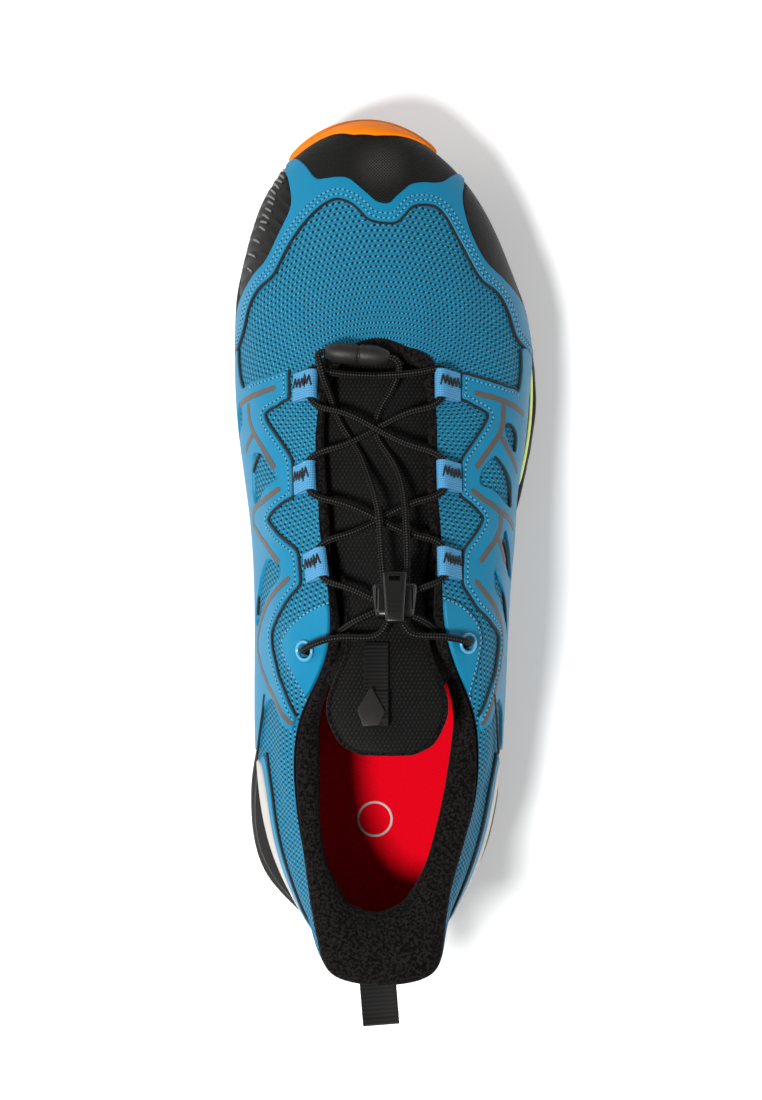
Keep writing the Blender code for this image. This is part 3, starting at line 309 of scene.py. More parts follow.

# %% [markdown]
# Cloth that has been worn once or twice is never as smooth as a formula. The main creases are placed one
# by one, in the shoe's own sizes: a soft trough runs down each side of the vamp where the foot bends, two
# more lie where the collar gives way, and the cloth swells a little between the arms of the side cages.
# Each is a line on the last with a width and a height, and it fades out sideways like a bell curve.

# %% Creases and swellings: from turn and rise, to turn and rise, width and height
CREASES = [
    (139, 0.97, 128, 0.62, 5.0, -0.8), (221, 0.97, 233, 0.62, 5.0, -0.8),
    (150, 0.99, 144, 0.78, 4.0, -0.4), (210, 0.99, 216, 0.78, 4.0, -0.4),
    (40, 0.97, 52, 0.62, 6.0, -0.9), (320, 0.97, 308, 0.62, 6.0, -0.9),
    (26, 0.90, 22, 0.60, 5.0, -0.6), (334, 0.90, 338, 0.60, 5.0, -0.6),
    (118, 0.92, 114, 0.76, 7.0, 0.7), (101, 0.92, 98, 0.78, 7.0, 0.7),
    (242, 0.92, 247, 0.70, 7.0, 0.7), (260, 0.92, 264, 0.68, 7.0, 0.7), (97, 0.22, 110, 0.22, 12.0, -1.9),
]


def relief(points):
    """Height of the listed creases at points of the surface."""
    total = np.zeros(points.shape[:-1])
    for turn_a, rise_a, turn_b, rise_b, width, height in CREASES:
        share = np.linspace(0, 1, 16)
        line = skin(np.radians(turn_a + (turn_b - turn_a) * share), rise_a + (rise_b - rise_a) * share)
        nearest = np.full(points.shape[:-1], np.inf)
        for spot in line:
            nearest = np.minimum(nearest, ((points - spot) ** 2).sum(-1))
        total += height * np.exp(-nearest / width**2)
    return total


def on_last(turn, rise, lift=0.0):
    """Frame points on the upper, lifted off the cloth by some millimetres. The turn is in radians."""
    point = skin(turn, rise)
    normal = skin_axes(turn, rise)[2]
    return place(point + normal * (np.asarray(lift, float) + relief(point))[..., None])


print(len(CREASES), "creases and swellings")

# %% [markdown]
# ## Tools of the workbench
# Most pieces start as a flat grid primitive, like cloth on a cutting table. Its points are then laid on
# the last with array maths, because no operator knows this surface. Merging, solidifying, subdividing and
# bevelling are left to Blender's own operators and modifiers. Each finished piece gets its finish, rides
# on the shoe and hides the CAD solids that it stands for.

# %% Workbench helpers


def activate(obj):
    bpy.ops.object.select_all(action="DESELECT")
    obj.select_set(True)
    bpy.context.view_layer.objects.active = obj


def coords(obj):
    flat = np.zeros(len(obj.data.vertices) * 3)
    obj.data.vertices.foreach_get("co", flat)
    return flat.reshape(-1, 3)


def set_coords(obj, points):
    obj.data.vertices.foreach_set("co", np.asarray(points, np.float32).ravel())
    obj.data.update()


def name_it(name):
    obj = bpy.context.object
    obj.name = obj.data.name = name
    return obj


def flat_grid(name, columns, rows):
    """A grid primitive, with each point's place from 0 to 1 along its columns and rows."""
    bpy.ops.object.select_all(action="DESELECT")
    bpy.ops.mesh.primitive_grid_add(x_subdivisions=columns, y_subdivisions=rows, size=1)
    obj = name_it(name)
    return obj, coords(obj)[:, 0] + 0.5, coords(obj)[:, 1] + 0.5


def edit(obj, *steps):
    """Runs edit-mode operators, each given with its settings, on the whole mesh."""
    activate(obj)
    bpy.ops.object.mode_set(mode="EDIT")
    bpy.ops.mesh.select_all(action="SELECT")
    for operator, settings in steps:
        operator(**settings)
    bpy.ops.object.mode_set(mode="OBJECT")


def merge(obj, threshold=1e-6):
    edit(obj, (bpy.ops.mesh.remove_doubles, {"threshold": threshold}))


def outward(obj):
    """Turns all faces of a closed piece outwards."""
    edit(obj, (bpy.ops.mesh.normals_make_consistent, {"inside": False}))


def shape_with(obj, kind, **settings):
    """Adds one modifier and applies it."""
    activate(obj)
    modifier = obj.modifiers.new(kind.lower(), kind)
    for key, value in settings.items():
        setattr(modifier, key, value)
    bpy.ops.object.modifier_apply(modifier=modifier.name)


def cut_away(obj, cutter):
    """Cuts one piece out of another and removes the cutter."""
    shape_with(obj, "BOOLEAN", operation="DIFFERENCE", object=cutter, solver="EXACT")
    bpy.data.objects.remove(cutter)


def subdivide(obj, levels=1):
    shape_with(obj, "SUBSURF", levels=levels, render_levels=levels)


def loop_corners(mesh):
    """The point that each corner of each face uses."""
    corner = np.zeros(len(mesh.loops), np.int32)
    mesh.loops.foreach_get("vertex_index", corner)
    return corner


def read_uv(layer):
    uv = np.zeros(len(layer) * 2)
    layer.foreach_get("uv", uv)
    return uv.reshape(-1, 2)


def mesh_piece(name, points, faces, uv=None):
    """A mesh from arrays; uv holds one pair of numbers per point."""
    mesh = bpy.data.meshes.new(name)
    mesh.from_pydata(np.asarray(points).tolist(), [], [tuple(map(int, face)) for face in faces])
    if uv is not None:
        layer = mesh.uv_layers.new(name="UVMap")
        layer.data.foreach_set("uv", np.asarray(uv, np.float32)[loop_corners(mesh)].ravel())
    obj = bpy.data.objects.new(name, mesh)
    bpy.context.scene.collection.objects.link(obj)
    return obj


def scale_uv(obj, across, along):
    """Stretches a grid's UV map from 0..1 to millimetres."""
    layer = obj.data.uv_layers.active.data
    layer.foreach_set("uv", (read_uv(layer) * (across, along)).ravel())


def dress(obj, finish, slot, *nodes, sharp=40.0):
    """Gives a piece its finish, lets it ride on the shoe and hides the CAD solids that it stands for."""
    if finish:
        obj.data.materials.clear()
        obj.data.materials.append(finish)
    activate(obj)
    bpy.ops.object.shade_smooth_by_angle(angle=math.radians(sharp))
    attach(obj, "root")
    if nodes:
        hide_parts(*nodes)
    print(f"{obj.name}: {len(obj.data.polygons)} faces")
    return obj


def resample(line, spacing, closed=False):
    """Points at an even spacing along a line of points."""
    line = np.asarray(line, float)
    if closed:
        line = np.concatenate((line, line[:1]))
    length = run_length(line)
    count = max(2, round(length[-1] / spacing))
    places = np.linspace(0, length[-1], count + 1)[: count if closed else None]
    return np.stack([np.interp(places, length, line[:, k]) for k in range(line.shape[1])], 1)


def smooth_route(points, spacing):
    """Points at an even spacing on a smooth curve through a route's own points."""
    points = np.array(points, float)
    length = run_length(points)
    count = max(2, round(length[-1] / spacing))
    return spline(length, points)(np.linspace(0, length[-1], count + 1))


# %% [markdown]
# Cords, beads and printed lines are one section swept along a route. The frame that carries the section
# turns with the route but doesn't twist, unless the route lies on the shoe: then the surface normal holds
# it upright. The UV map counts millimetres round and along, so that a braid keeps its size on every cord.

# %% Sweeping a section along a route


def carried(route, up=None):
    """Side and up directions along a route."""
    tangent = unit(np.gradient(route, axis=0))
    if up is not None:
        side = unit(np.cross(tangent, up))
        return side, np.cross(side, tangent)
    sides = np.zeros_like(route)
    seed = np.cross(tangent[0], (0.0, 0.0, 1.0))
    if np.linalg.norm(seed) < 0.1:
        seed = np.cross(tangent[0], (1.0, 0.0, 0.0))
    sides[0] = unit(seed)
    for i in range(1, len(route)):
        sides[i] = unit(sides[i - 1] - tangent[i] * (sides[i - 1] @ tangent[i]))
    return sides, np.cross(sides, tangent)


def swept_arrays(route, section, up=None, closed=False, taper=None):
    """Points, faces and UVs of a section (side, up) swept along a route, all in millimetres."""
    route = np.asarray(route, float)
    if closed:
        route = np.concatenate((route[-2:], route, route[:2]))
        up = None if up is None else np.concatenate((up[-2:], up, up[:2]))
    side, lift = carried(route, up)
    if closed:
        route, side, lift = route[2:-2], side[2:-2], lift[2:-2]
    section = np.asarray(section, float)
    size = np.ones(len(route)) if taper is None else np.asarray(taper, float)
    offset = section[None, :, 0, None] * side[:, None] + section[None, :, 1, None] * lift[:, None]
    points = route[:, None] + size[:, None, None] * offset
    rows, count = points.shape[:2]
    k = np.arange(count)
    faces = []
    for i in range(rows if closed else rows - 1):
        a, b = i * count, (i + 1) % rows * count
        faces += np.stack((a + k, a + (k + 1) % count, b + (k + 1) % count, b + k), 1).tolist()
    if not closed:
        faces += [k[::-1].tolist(), ((rows - 1) * count + k).tolist()]
    edge = np.linalg.norm(np.roll(section, -1, axis=0) - section, axis=1)
    around = np.concatenate(([0], np.cumsum(edge)))[:-1]
    along = run_length(route)
    uv = np.stack(np.broadcast_arrays(around[None, :], along[:, None]), -1)
    return points.reshape(-1, 3), faces, uv.reshape(-1, 2)


def swept_piece(name, runs):
    """One mesh from several swept runs."""
    points, faces, uvs, start = [], [], [], 0
    for run_points, run_faces, run_uv in runs:
        points.append(run_points)
        faces += [[start + i for i in face] for face in run_faces]
        uvs.append(run_uv)
        start += len(run_points)
    obj = mesh_piece(name, place(np.concatenate(points)), faces, np.concatenate(uvs))
    outward(obj)
    return obj


def round_section(radius, sides=10, flat=1.0):
    angle = np.arange(sides) * TURN / sides
    return np.stack((radius * np.cos(angle), radius * flat * np.sin(angle)), 1)


print("workbench ready")

# %% [markdown]
# ## Finishes
# Patterns that several finishes share are node groups: an open mesh, a braid or rib for webbing and cord,
# a fine grain, and a diagonal line pattern. Each group takes coordinates and gives masks and a height.
# The material itself mixes its colours by the masks, sends the height through a Bump node and keeps the
# shader with its constant values. Cloth and cords read their UV map, which counts millimetres, and
# moulded pieces read Object coordinates.

# %% Node helpers


def tone(red, green, blue):
    """A screen colour from 0 to 255 as the linear colour that shaders use."""
    share = np.array((red, green, blue)) / 255
    linear = np.where(share < 0.04045, share / 12.92, ((share + 0.055) / 1.055) ** 2.4)
    return (*linear.tolist(), 1.0)


def add(tree, kind, inputs=None, **settings):
    """Adds a node; an input is a number, a colour or another node's output."""
    node = tree.nodes.new(kind)
    for key, value in settings.items():
        setattr(node, key, value)
    for key, value in (inputs or {}).items():
        if isinstance(value, bpy.types.NodeSocket):
            tree.links.new(value, node.inputs[key])
        else:
            node.inputs[key].default_value = value
    return node


def calc(tree, operation, first, second=0.0):
    return add(tree, "ShaderNodeMath", {0: first, 1: second}, operation=operation).outputs[0]


def ramp(tree, value, low, high):
    """A soft step from 0 to 1 between two values."""
    inputs = {"Value": value, "From Min": low, "From Max": high}
    return add(tree, "ShaderNodeMapRange", inputs, interpolation_type="SMOOTHSTEP").outputs[0]


def new_group(name, inputs, outputs):
    """An empty shader group with named float outputs; its first input is a vector."""
    tree = bpy.data.node_groups.new(name, "ShaderNodeTree")
    tree.interface.new_socket("Vector", in_out="INPUT", socket_type="NodeSocketVector")
    for label in inputs:
        tree.interface.new_socket(label, in_out="INPUT", socket_type="NodeSocketFloat")
    for label in outputs:
        tree.interface.new_socket(label, in_out="OUTPUT", socket_type="NodeSocketFloat")
    return tree, tree.nodes.new("NodeGroupInput").outputs, tree.nodes.new("NodeGroupOutput").inputs


def wave(tree, value, pitch):
    """A sine with the given pitch."""
    return calc(tree, "SINE", calc(tree, "MULTIPLY", calc(tree, "DIVIDE", value, pitch), TURN))


# %% Shared patterns


def make_open_mesh():
    """Rows of holes, staggered from row to row, with a slanting thread standing up between them."""
    tree, given, made = new_group("open_mesh", ("Across", "Along"), ("Hole", "Thread", "Height"))
    noise = add(tree, "ShaderNodeTexNoise", {"Vector": given["Vector"], "Scale": 0.35, "Detail": 2.0})
    stray = calc(tree, "MULTIPLY", calc(tree, "SUBTRACT", noise.outputs[0], 0.5), 0.7)
    split = add(tree, "ShaderNodeSeparateXYZ", {0: given["Vector"]})
    across = calc(tree, "DIVIDE", calc(tree, "ADD", split.outputs[0], stray), given["Across"])
    along = calc(tree, "DIVIDE", calc(tree, "ADD", split.outputs[1], stray), given["Along"])
    rows = calc(tree, "POWER", wave(tree, along, 1.0), 3.0)
    slant = wave(tree, calc(tree, "SUBTRACT", across, calc(tree, "MULTIPLY", along, 2.0)), 1.0)
    hole = ramp(tree, calc(tree, "MULTIPLY", wave(tree, across, 1.0), rows), 0.25, 0.6)
    thread_and_highlight = ramp(tree, calc(tree, "MULTIPLY", slant, rows), 0.4, 1.0)
    tree.links.new(hole, made["Hole"])
    tree.links.new(thread_and_highlight, made["Thread"])
    tree.links.new(calc(tree, "SUBTRACT", calc(tree, "MULTIPLY", thread_and_highlight, 0.6), hole), made["Height"])
    return tree


def make_braid():
    """Strands that pass over and under each other on the slant, as in cord and webbing."""
    tree, given, made = new_group("braid", ("Across", "Along"), ("Strand", "Height"))
    split = add(tree, "ShaderNodeSeparateXYZ", {0: given["Vector"]})
    across = calc(tree, "DIVIDE", split.outputs[0], given["Across"])
    along = calc(tree, "DIVIDE", split.outputs[1], given["Along"])
    right = wave(tree, calc(tree, "ADD", across, along), 1.0)
    left = wave(tree, calc(tree, "SUBTRACT", across, along), 1.0)
    strand = calc(tree, "ADD", calc(tree, "MULTIPLY", calc(tree, "MULTIPLY", right, left), 0.5), 0.5)
    tree.links.new(strand, made["Strand"])
    tree.links.new(calc(tree, "POWER", strand, 0.6), made["Height"])
    return tree


def make_grain():
    """Fine pebbles over slow patches."""
    tree, given, made = new_group("grain", ("Fine", "Slow"), ("Fine", "Patch"))
    fine = add(tree, "ShaderNodeTexNoise", {"Vector": given["Vector"], "Scale": given["Fine"], "Detail": 3.0})
    slow = add(tree, "ShaderNodeTexNoise", {"Vector": given["Vector"], "Scale": given["Slow"], "Detail": 2.0})
    tree.links.new(fine.outputs[0], made["Fine"])
    tree.links.new(slow.outputs[0], made["Patch"])
    return tree


def make_hatch():
    """Two sets of slanting lines that cross."""
    tree, given, made = new_group("hatch", ("Pitch", "Second"), ("Line", "Height"))
    split = add(tree, "ShaderNodeSeparateXYZ", {0: given["Vector"]})
    up = wave(tree, calc(tree, "ADD", split.outputs[0], split.outputs[1]), given["Pitch"])
    down = wave(tree, calc(tree, "SUBTRACT", split.outputs[0], split.outputs[1]), given["Pitch"])
    lines = calc(tree, "MAXIMUM", up, calc(tree, "MULTIPLY", down, given["Second"]))
    tree.links.new(ramp(tree, lines, 0.2, 0.9), made["Line"])
    tree.links.new(lines, made["Height"])
    return tree


open_mesh, braid, grain, hatch = make_open_mesh(), make_braid(), make_grain(), make_hatch()
print("pattern groups:", [group.name for group in bpy.data.node_groups])

# %% Building a material


def start_material(name, roughness, **constants):
    """A material with its Principled shader and constant values such as Coat_Weight."""
    material = bpy.data.materials.new(name)
    material.use_nodes = True
    shader = material.node_tree.nodes["Principled BSDF"]
    shader.inputs["Roughness"].default_value = roughness
    for label, value in constants.items():
        shader.inputs[label.replace("_", " ")].default_value = value
    return material, material.node_tree, shader


def pattern(tree, group, coordinates, **values):
    """Places a pattern group that reads UV or Object coordinates."""
    node = add(tree, "ShaderNodeGroup")
    node.node_tree = group
    source = add(tree, "ShaderNodeTexCoord")
    tree.links.new(source.outputs[coordinates], node.inputs["Vector"])
    for label, value in values.items():
        node.inputs[label].default_value = value
    return node.outputs


def mix(tree, share, first, second):
    """A colour between two others; the sockets for colours are the seventh and eighth."""
    return add(tree, "ShaderNodeMix", {0: share, 6: first, 7: second}, data_type="RGBA").outputs[2]


def finish_material(tree, shader, color, height=None, strength=0.5, depth=0.0003):
    """Links the colour, and the height through a Bump node."""
    tree.links.new(color, shader.inputs["Base Color"])
    if height is not None:
        bump = add(tree, "ShaderNodeBump", {"Height": height, "Strength": strength, "Distance": depth})
        tree.links.new(bump.outputs[0], shader.inputs["Normal"])


def mesh_cloth(name, body, hole, thread_and_highlight, across, along, roughness=0.75, strength=0.8, **constants):
    """Open mesh cloth, its pattern counted in millimetres of the UV map."""
    material, tree, shader = start_material(name, roughness, **constants)
    weave = pattern(tree, open_mesh, "UV", Across=across, Along=along)
    tint = pattern(tree, grain, "Object", Fine=1500.0, Slow=40.0)
    base = mix(tree, tint["Patch"], body, tuple(0.82 * c for c in body[:3]) + (1.0,))
    color = mix(tree, weave["Hole"], mix(tree, weave["Thread"], base, thread_and_highlight), hole)
    finish_material(tree, shader, color, weave["Height"], strength, 0.0005)
    return material


def smooth_film(name, body, roughness, strength=0.12, fine=1400.0, vary=0.85, **constants):
    """Moulded or bonded plastic, rubber and foam with a fine grain."""
    material, tree, shader = start_material(name, roughness, **constants)
    tint = pattern(tree, grain, "Object", Fine=fine, Slow=25.0)
    color = mix(tree, tint["Patch"], body, tuple(vary * c for c in body[:3]) + (1.0,))
    finish_material(tree, shader, color, tint["Fine"], strength, 0.0004)
    return material


def woven(name, dark, light, across, along, roughness=0.8, strength=0.7, crisp=0.0, **constants):
    """Webbing, cord and thread, in strands that follow the UV map; crisp narrows their light part."""
    material, tree, shader = start_material(name, roughness, **constants)
    strands = pattern(tree, braid, "UV", Across=across, Along=along)
    share = ramp(tree, strands["Strand"], crisp, 1.0)
    finish_material(tree, shader, mix(tree, share, dark, light), strands["Height"], strength)
    return material


def painted_glow(color, strength):
    """Constants for an emission that lights up a piece though it is no lamp: painted light."""
    return {"Emission_Color": color, "Emission_Strength": strength}


def napped(name, dark, light, fine, roughness, strength=0.6, **constants):
    """Brushed lining cloth, with short fibres that show as a fine noise in its colour and height."""
    material, tree, shader = start_material(name, roughness, **constants)
    nap = pattern(tree, grain, "Object", Fine=fine, Slow=60.0)
    fibre = ramp(tree, nap["Fine"], 0.4, 0.62)
    finish_material(tree, shader, mix(tree, fibre, dark, light), nap["Fine"], strength, 0.0004)
    return material


def hatched(name, body, line, pitch, second, roughness, strength=0.5, spot=None, **constants):
    """Cloth or film with slanting lines along x and y; a spot (x, y, size) keeps their light colour round it
    as a painted highlight.
    """
    material, tree, shader = start_material(name, roughness, **constants)
    lines = pattern(tree, hatch, "Object", Pitch=pitch, Second=second)
    share = lines["Line"]
    # Painted highlight: the lines are light only within the spot, and their bump stays everywhere.
    if spot:
        middle = tuple(place((spot[0], spot[1], 50.0)))
        source = add(tree, "ShaderNodeTexCoord").outputs["Object"]
        away = add(tree, "ShaderNodeVectorMath", {0: source, 1: middle}, operation="DISTANCE")
        share = calc(tree, "MULTIPLY", share, ramp(tree, away.outputs["Value"], spot[2] * MM, 0.0))
    finish_material(tree, shader, mix(tree, share, body, line), lines["Height"], strength, 0.0002)
    return material


# %% The finishes of this shoe
# The light thread colour of the blue mesh is partly the yarn and partly a painted highlight on the raised
# threads.
blue_mesh = mesh_cloth(
    "blue_mesh", tone(18, 116, 150), tone(0, 10, 28), tone(100, 182, 210), 1.9, 3.9, Specular_IOR_Level=0.2
)
blue_film = smooth_film("blue_film", tone(6, 128, 168), 0.5, Specular_IOR_Level=0.25)
# The hatch is the cap film's own texture; its light lines in a round spot near the toe are a painted
# highlight.
black_film = hatched(
    "black_film", tone(12, 11, 10), tone(96, 92, 88), 0.0011, 0.9, 0.6, spot=(-0.6, 270.0, 13.0),
    Specular_IOR_Level=0.2,
)
black_rand = smooth_film("black_rand", tone(15, 14, 13), 0.55, 0.3, 700.0, Specular_IOR_Level=0.2)
white_film = smooth_film("white_film", tone(188, 183, 176), 0.4, Coat_Weight=0.1)
light_webbing = woven("light_webbing", tone(52, 124, 172), tone(88, 164, 208), 1.6, 1.3)
black_webbing = woven(
    "black_webbing", tone(8, 7, 7), tone(30, 28, 27), 60.0, 2.8, 0.75, Specular_IOR_Level=0.2
)
black_lining = napped(
    "black_lining", tone(1, 1, 1), tone(29, 25, 24), 1100.0, 0.9, 0.8,
    Specular_IOR_Level=0.1, Sheen_Weight=0.02,
)
tongue_mesh = mesh_cloth(
    "tongue_mesh", tone(7, 7, 6), tone(1, 1, 1), tone(62, 59, 57), 1.4, 2.5, 0.75, 0.9, Specular_IOR_Level=0.2
)
red_cloth = hatched(
    "red_cloth", tone(222, 0, 20), tone(236, 4, 34), 0.0012, 0.0, 0.9, 0.4, Specular_IOR_Level=0.05
)
black_foam = smooth_film("black_foam", tone(32, 30, 28), 0.7, 0.35, 900.0, Specular_IOR_Level=0.3)
black_rubber = smooth_film("black_rubber", tone(16, 15, 15), 0.55, 0.25, 1100.0, Specular_IOR_Level=0.4)
# The emission on the lime foam is painted light: it lifts the patches, and the lateral one lies in shade.
lime_foam = smooth_film("lime_foam", tone(206, 220, 122), 0.5, 0.3, 900.0, **painted_glow(tone(206, 220, 122), 0.25))
orange_rubber = smooth_film("orange_rubber", tone(255, 134, 8), 0.55, 0.15, 900.0, Specular_IOR_Level=0.12)
black_cord = woven(
    "black_cord", tone(4, 4, 4), tone(70, 66, 63), 2.4, 1.9, 0.7, 0.9, 0.6, Specular_IOR_Level=0.15
)
black_plastic = smooth_film("black_plastic", tone(14, 13, 12), 0.34, 0.12, 1800.0, Specular_IOR_Level=0.45)
grey_plastic = smooth_film("grey_plastic", tone(34, 31, 29), 0.5, 0.2, 1800.0, Specular_IOR_Level=0.35)
light_plastic = smooth_film("light_plastic", tone(84, 168, 208), 0.2, 0.05, Coat_Weight=0.6)
light_thread = woven("light_thread", tone(70, 150, 190), tone(130, 200, 226), 0.5, 0.6, 0.6)
# Dark blue marks for the needle holes: painted shade in the holes.
needle_hole_shade = woven("needle_hole_shade", tone(8, 24, 36), tone(18, 38, 52), 0.5, 0.6, 0.7)
black_thread = woven("black_thread", tone(8, 8, 8), tone(30, 28, 27), 0.5, 0.6, 0.6)
grey_print = smooth_film("grey_print", tone(92, 84, 80), 0.5, 0.1, 1200.0, Specular_IOR_Level=0.3)
# Light grey streaks that stand in for highlights on the rand's ribs: painted highlight.
painted_glint = smooth_film("painted_glint", tone(122, 120, 116), 0.4, 0.2, 1200.0, 0.4)
floor_paper, _, floor_shader = start_material("floor_paper", 0.9)
floor_shader.inputs["Base Color"].default_value = (0.94, 0.94, 0.94, 1.0)
floor_shader.inputs["Emission Color"].default_value = (1.0, 1.0, 1.0, 1.0)
floor_shader.inputs["Emission Strength"].default_value = FLOOR_GLOW
floor.data.materials.append(floor_paper)
print(len(bpy.data.materials), "materials")

# %% [markdown]
# ## The upper
# The body of the upper is one piece of open mesh cloth, closed at the heel. A grid is laid on the last
# while it is still open at the heel. Unwrapping it then gives the flat cut of the cloth, a horseshoe, so
# the weave lies on the shoe as it would in a real cut. After that the heel is closed, and Solidify gives
# the wall its thickness, with the black lining on the inside.

# %% Mesh cloth over the last
UPPER_COLUMNS, UPPER_ROWS = 352, 56


def flatten(obj, toe, throat):
    """Unwraps a cloth, turns its line from throat to toe upright and scales it to millimetres."""
    edit(obj, (bpy.ops.uv.unwrap, {"method": "MINIMUM_STRETCH", "iterations": 12, "margin": 0.0}))
    mesh = obj.data
    mesh.calc_loop_triangles()
    layer = mesh.uv_layers.active.data
    uv = read_uv(layer)
    loops = np.array([t.loops for t in mesh.loop_triangles])
    edge_a, edge_b = uv[loops[:, 1]] - uv[loops[:, 0]], uv[loops[:, 2]] - uv[loops[:, 0]]
    flat_area = np.abs(edge_a[:, 0] * edge_b[:, 1] - edge_a[:, 1] * edge_b[:, 0]).sum() / 2
    area = sum(t.area for t in mesh.loop_triangles)
    corner = loop_corners(mesh)
    up = uv[np.argmax(corner == toe)] - uv[np.argmax(corner == throat)]
    angle = math.pi / 2 - math.atan2(up[1], up[0])
    turned = uv @ np.array(((math.cos(angle), math.sin(angle)), (-math.sin(angle), math.cos(angle))))
    turned *= math.sqrt(area / flat_area) / MM
    layer.foreach_set("uv", turned.ravel())
    return np.ptp(turned, axis=0) * MM, area


upper, across, rise = flat_grid("upper_cloth", UPPER_COLUMNS, UPPER_ROWS)
set_coords(upper, on_last(across * TURN, rise))
middle = np.abs(across - 0.5) < 1e-6
toe_point = int(np.argmax(middle & (rise < 1e-6)))
throat_point = int(np.argmax(middle & (rise > 1 - 1e-6)))
cut_size, cut_area = flatten(upper, toe_point, throat_point)
merge(upper)
upper.data.materials.append(blue_mesh)
upper.data.materials.append(black_lining)
shape_with(upper, "SOLIDIFY", thickness=WALL * MM, offset=-1, material_offset=1, material_offset_rim=1)
dress(upper, None, "blue_mesh", "upper")
print("flat cut of the cloth", cut_size.round(3), "m, area", round(cut_area, 4), "square metres")

# %% [markdown]
# Bonded films stiffen the cloth: a toe cap, a frame round it, rands along the sole, a cage on either side
# and stays for the eyelets. Each is cut from a flat outline whose corners are places on the last. The
# corners are rounded, the edge gets a few close rows of points so that it rolls over like a moulded film,
# and a Delaunay triangulation fills the rest. The knife would need a window, and a grid can't follow such
# outlines.

# %% Cutting panels on the last
EDGE_ROWS = ((0.0, 0.0), (0.18, 0.72), (0.55, 1.0))
FILM_SHEET = 0.4


def metric(corners):
    """Millimetres per degree of turn and per unit of rise at the middle of some places."""
    turn, rise = np.asarray(corners, float).mean(axis=0)
    along, up, _ = skin_axes(math.radians(turn), rise)
    return np.array((np.linalg.norm(along) * math.pi / 180, np.linalg.norm(up)))


def rounded(corners, radius, closed=True, spacing=0.9):
    """An outline or line through corners, with its corners rounded, as places on the last."""
    scale = metric(corners)
    flat = np.array(corners, float) * scale
    count = len(flat)
    share = np.linspace(0, 1, 7)[:, None]
    pieces = []
    for i, here in enumerate(flat):
        if not closed and i in (0, count - 1):
            pieces.append(here[None])
            continue
        before, after = flat[i - 1] - here, flat[(i + 1) % count] - here
        reach = [min(radius, 0.48 * np.linalg.norm(v)) for v in (before, after)]
        start, end = here + unit(before) * reach[0], here + unit(after) * reach[1]
        pieces.append((1 - share) ** 2 * start + 2 * share * (1 - share) * here + share**2 * end)
    return resample(np.concatenate(pieces), spacing, closed) / scale


def shifted(line, distance, closed=False):
    """A line on the last moved sideways by some millimetres, to the left of its run."""
    turn, rise = np.radians(line[:, 0]), line[:, 1]
    points = skin(turn, rise)
    run = np.roll(points, -1, 0) - np.roll(points, 1, 0) if closed else np.gradient(points, axis=0)
    along, up, normal = skin_axes(turn, rise)
    side = np.cross(normal, unit(run)) * distance
    aa, bb, ab = (along**2).sum(1), (up**2).sum(1), (along * up).sum(1)
    sa, sb = (side * along).sum(1), (side * up).sum(1)
    det = aa * bb - ab**2
    moved = np.stack((np.degrees((sa * bb - sb * ab) / det), (sb * aa - sa * ab) / det), 1)
    return np.stack((line[:, 0] + moved[:, 0], np.clip(line[:, 1] + moved[:, 1], 0, 1)), 1)


def within(points, loop):
    """Which flat points lie inside a closed loop."""
    (x, y), (x0, y0) = points.T, loop.T
    x1, y1 = np.roll(loop, -1, axis=0).T
    crosses = (y0 > y[:, None]) != (y1 > y[:, None])
    place_x = x0 + (y[:, None] - y0) / np.where(y1 == y0, 1e-9, y1 - y0) * (x1 - x0)
    return (crosses & (x[:, None] < place_x)).sum(1) % 2 == 1


def in_panel(points, loops):
    held = within(points, loops[0])
    for window in loops[1:]:
        held &= ~within(points, window)
    return held


def cut_panel(
    name, corners, windows=(), radius=5.0, window_radius=2.5, low=-0.2, top=1.0, step=1.5, ribs=None
):
    """A film with windows, laid on the last; ribs gives it extra height from places in millimetres."""
    scale = metric(corners)
    loops = [rounded(corners, radius)] + [rounded(window, window_radius) for window in windows]
    places, shares, edges = [], [], []
    for number, loop in enumerate(loops):
        ahead = np.roll(loop, -1, axis=0)
        area = (loop[:, 0] * ahead[:, 1] - loop[:, 1] * ahead[:, 0]).sum()
        inwards = 1 if (area > 0) == (number == 0) else -1
        first, k = sum(len(p) for p in places), np.arange(len(loop))
        edges += np.stack((first + k, first + (k + 1) % len(loop)), 1).tolist()
        for distance, share in EDGE_ROWS:
            places.append(shifted(loop, inwards * distance, closed=True))
            shares.append(np.full(len(loop), share))
    flat_loops = [loop * scale for loop in loops]
    rim = np.concatenate(places) * scale
    low_corner, high_corner = rim.min(axis=0), rim.max(axis=0)
    x, y = np.meshgrid(*(np.arange(a, b, step) for a, b in zip(low_corner, high_corner)))
    x = x + (np.arange(len(x)) % 2 * step / 2)[:, None]
    inner = np.stack((x.ravel(), y.ravel()), 1)
    inner = inner[in_panel(inner, flat_loops)]
    clear = np.min([((inner - spot) ** 2).sum(1) for spot in rim], axis=0) > (0.7 * step) ** 2
    flat = np.concatenate((rim, inner[clear]))
    share = np.concatenate((*shares, np.ones(int(clear.sum()))))
    made = delaunay_2d_cdt([Vector(p) for p in flat], edges, [], 0, 1e-4)
    flat, share = np.array([v[:] for v in made[0]]), np.array([share[ids[0]] for ids in made[3]])
    faces = np.array(made[2])
    faces = faces[in_panel(flat[faces].mean(axis=1), flat_loops)]
    turn, rise = np.radians(flat[:, 0] / scale[0]), np.clip(flat[:, 1] / scale[1], 0, 1)
    lift = low + (top - low) * share
    if ribs is not None:
        lift = lift + share * ribs(flat)
    obj = mesh_piece(name, on_last(turn, rise, lift), faces, flat)
    shape_with(obj, "SOLIDIFY", thickness=FILM_SHEET * MM, offset=-1)
    return obj


print("panel cutter ready")

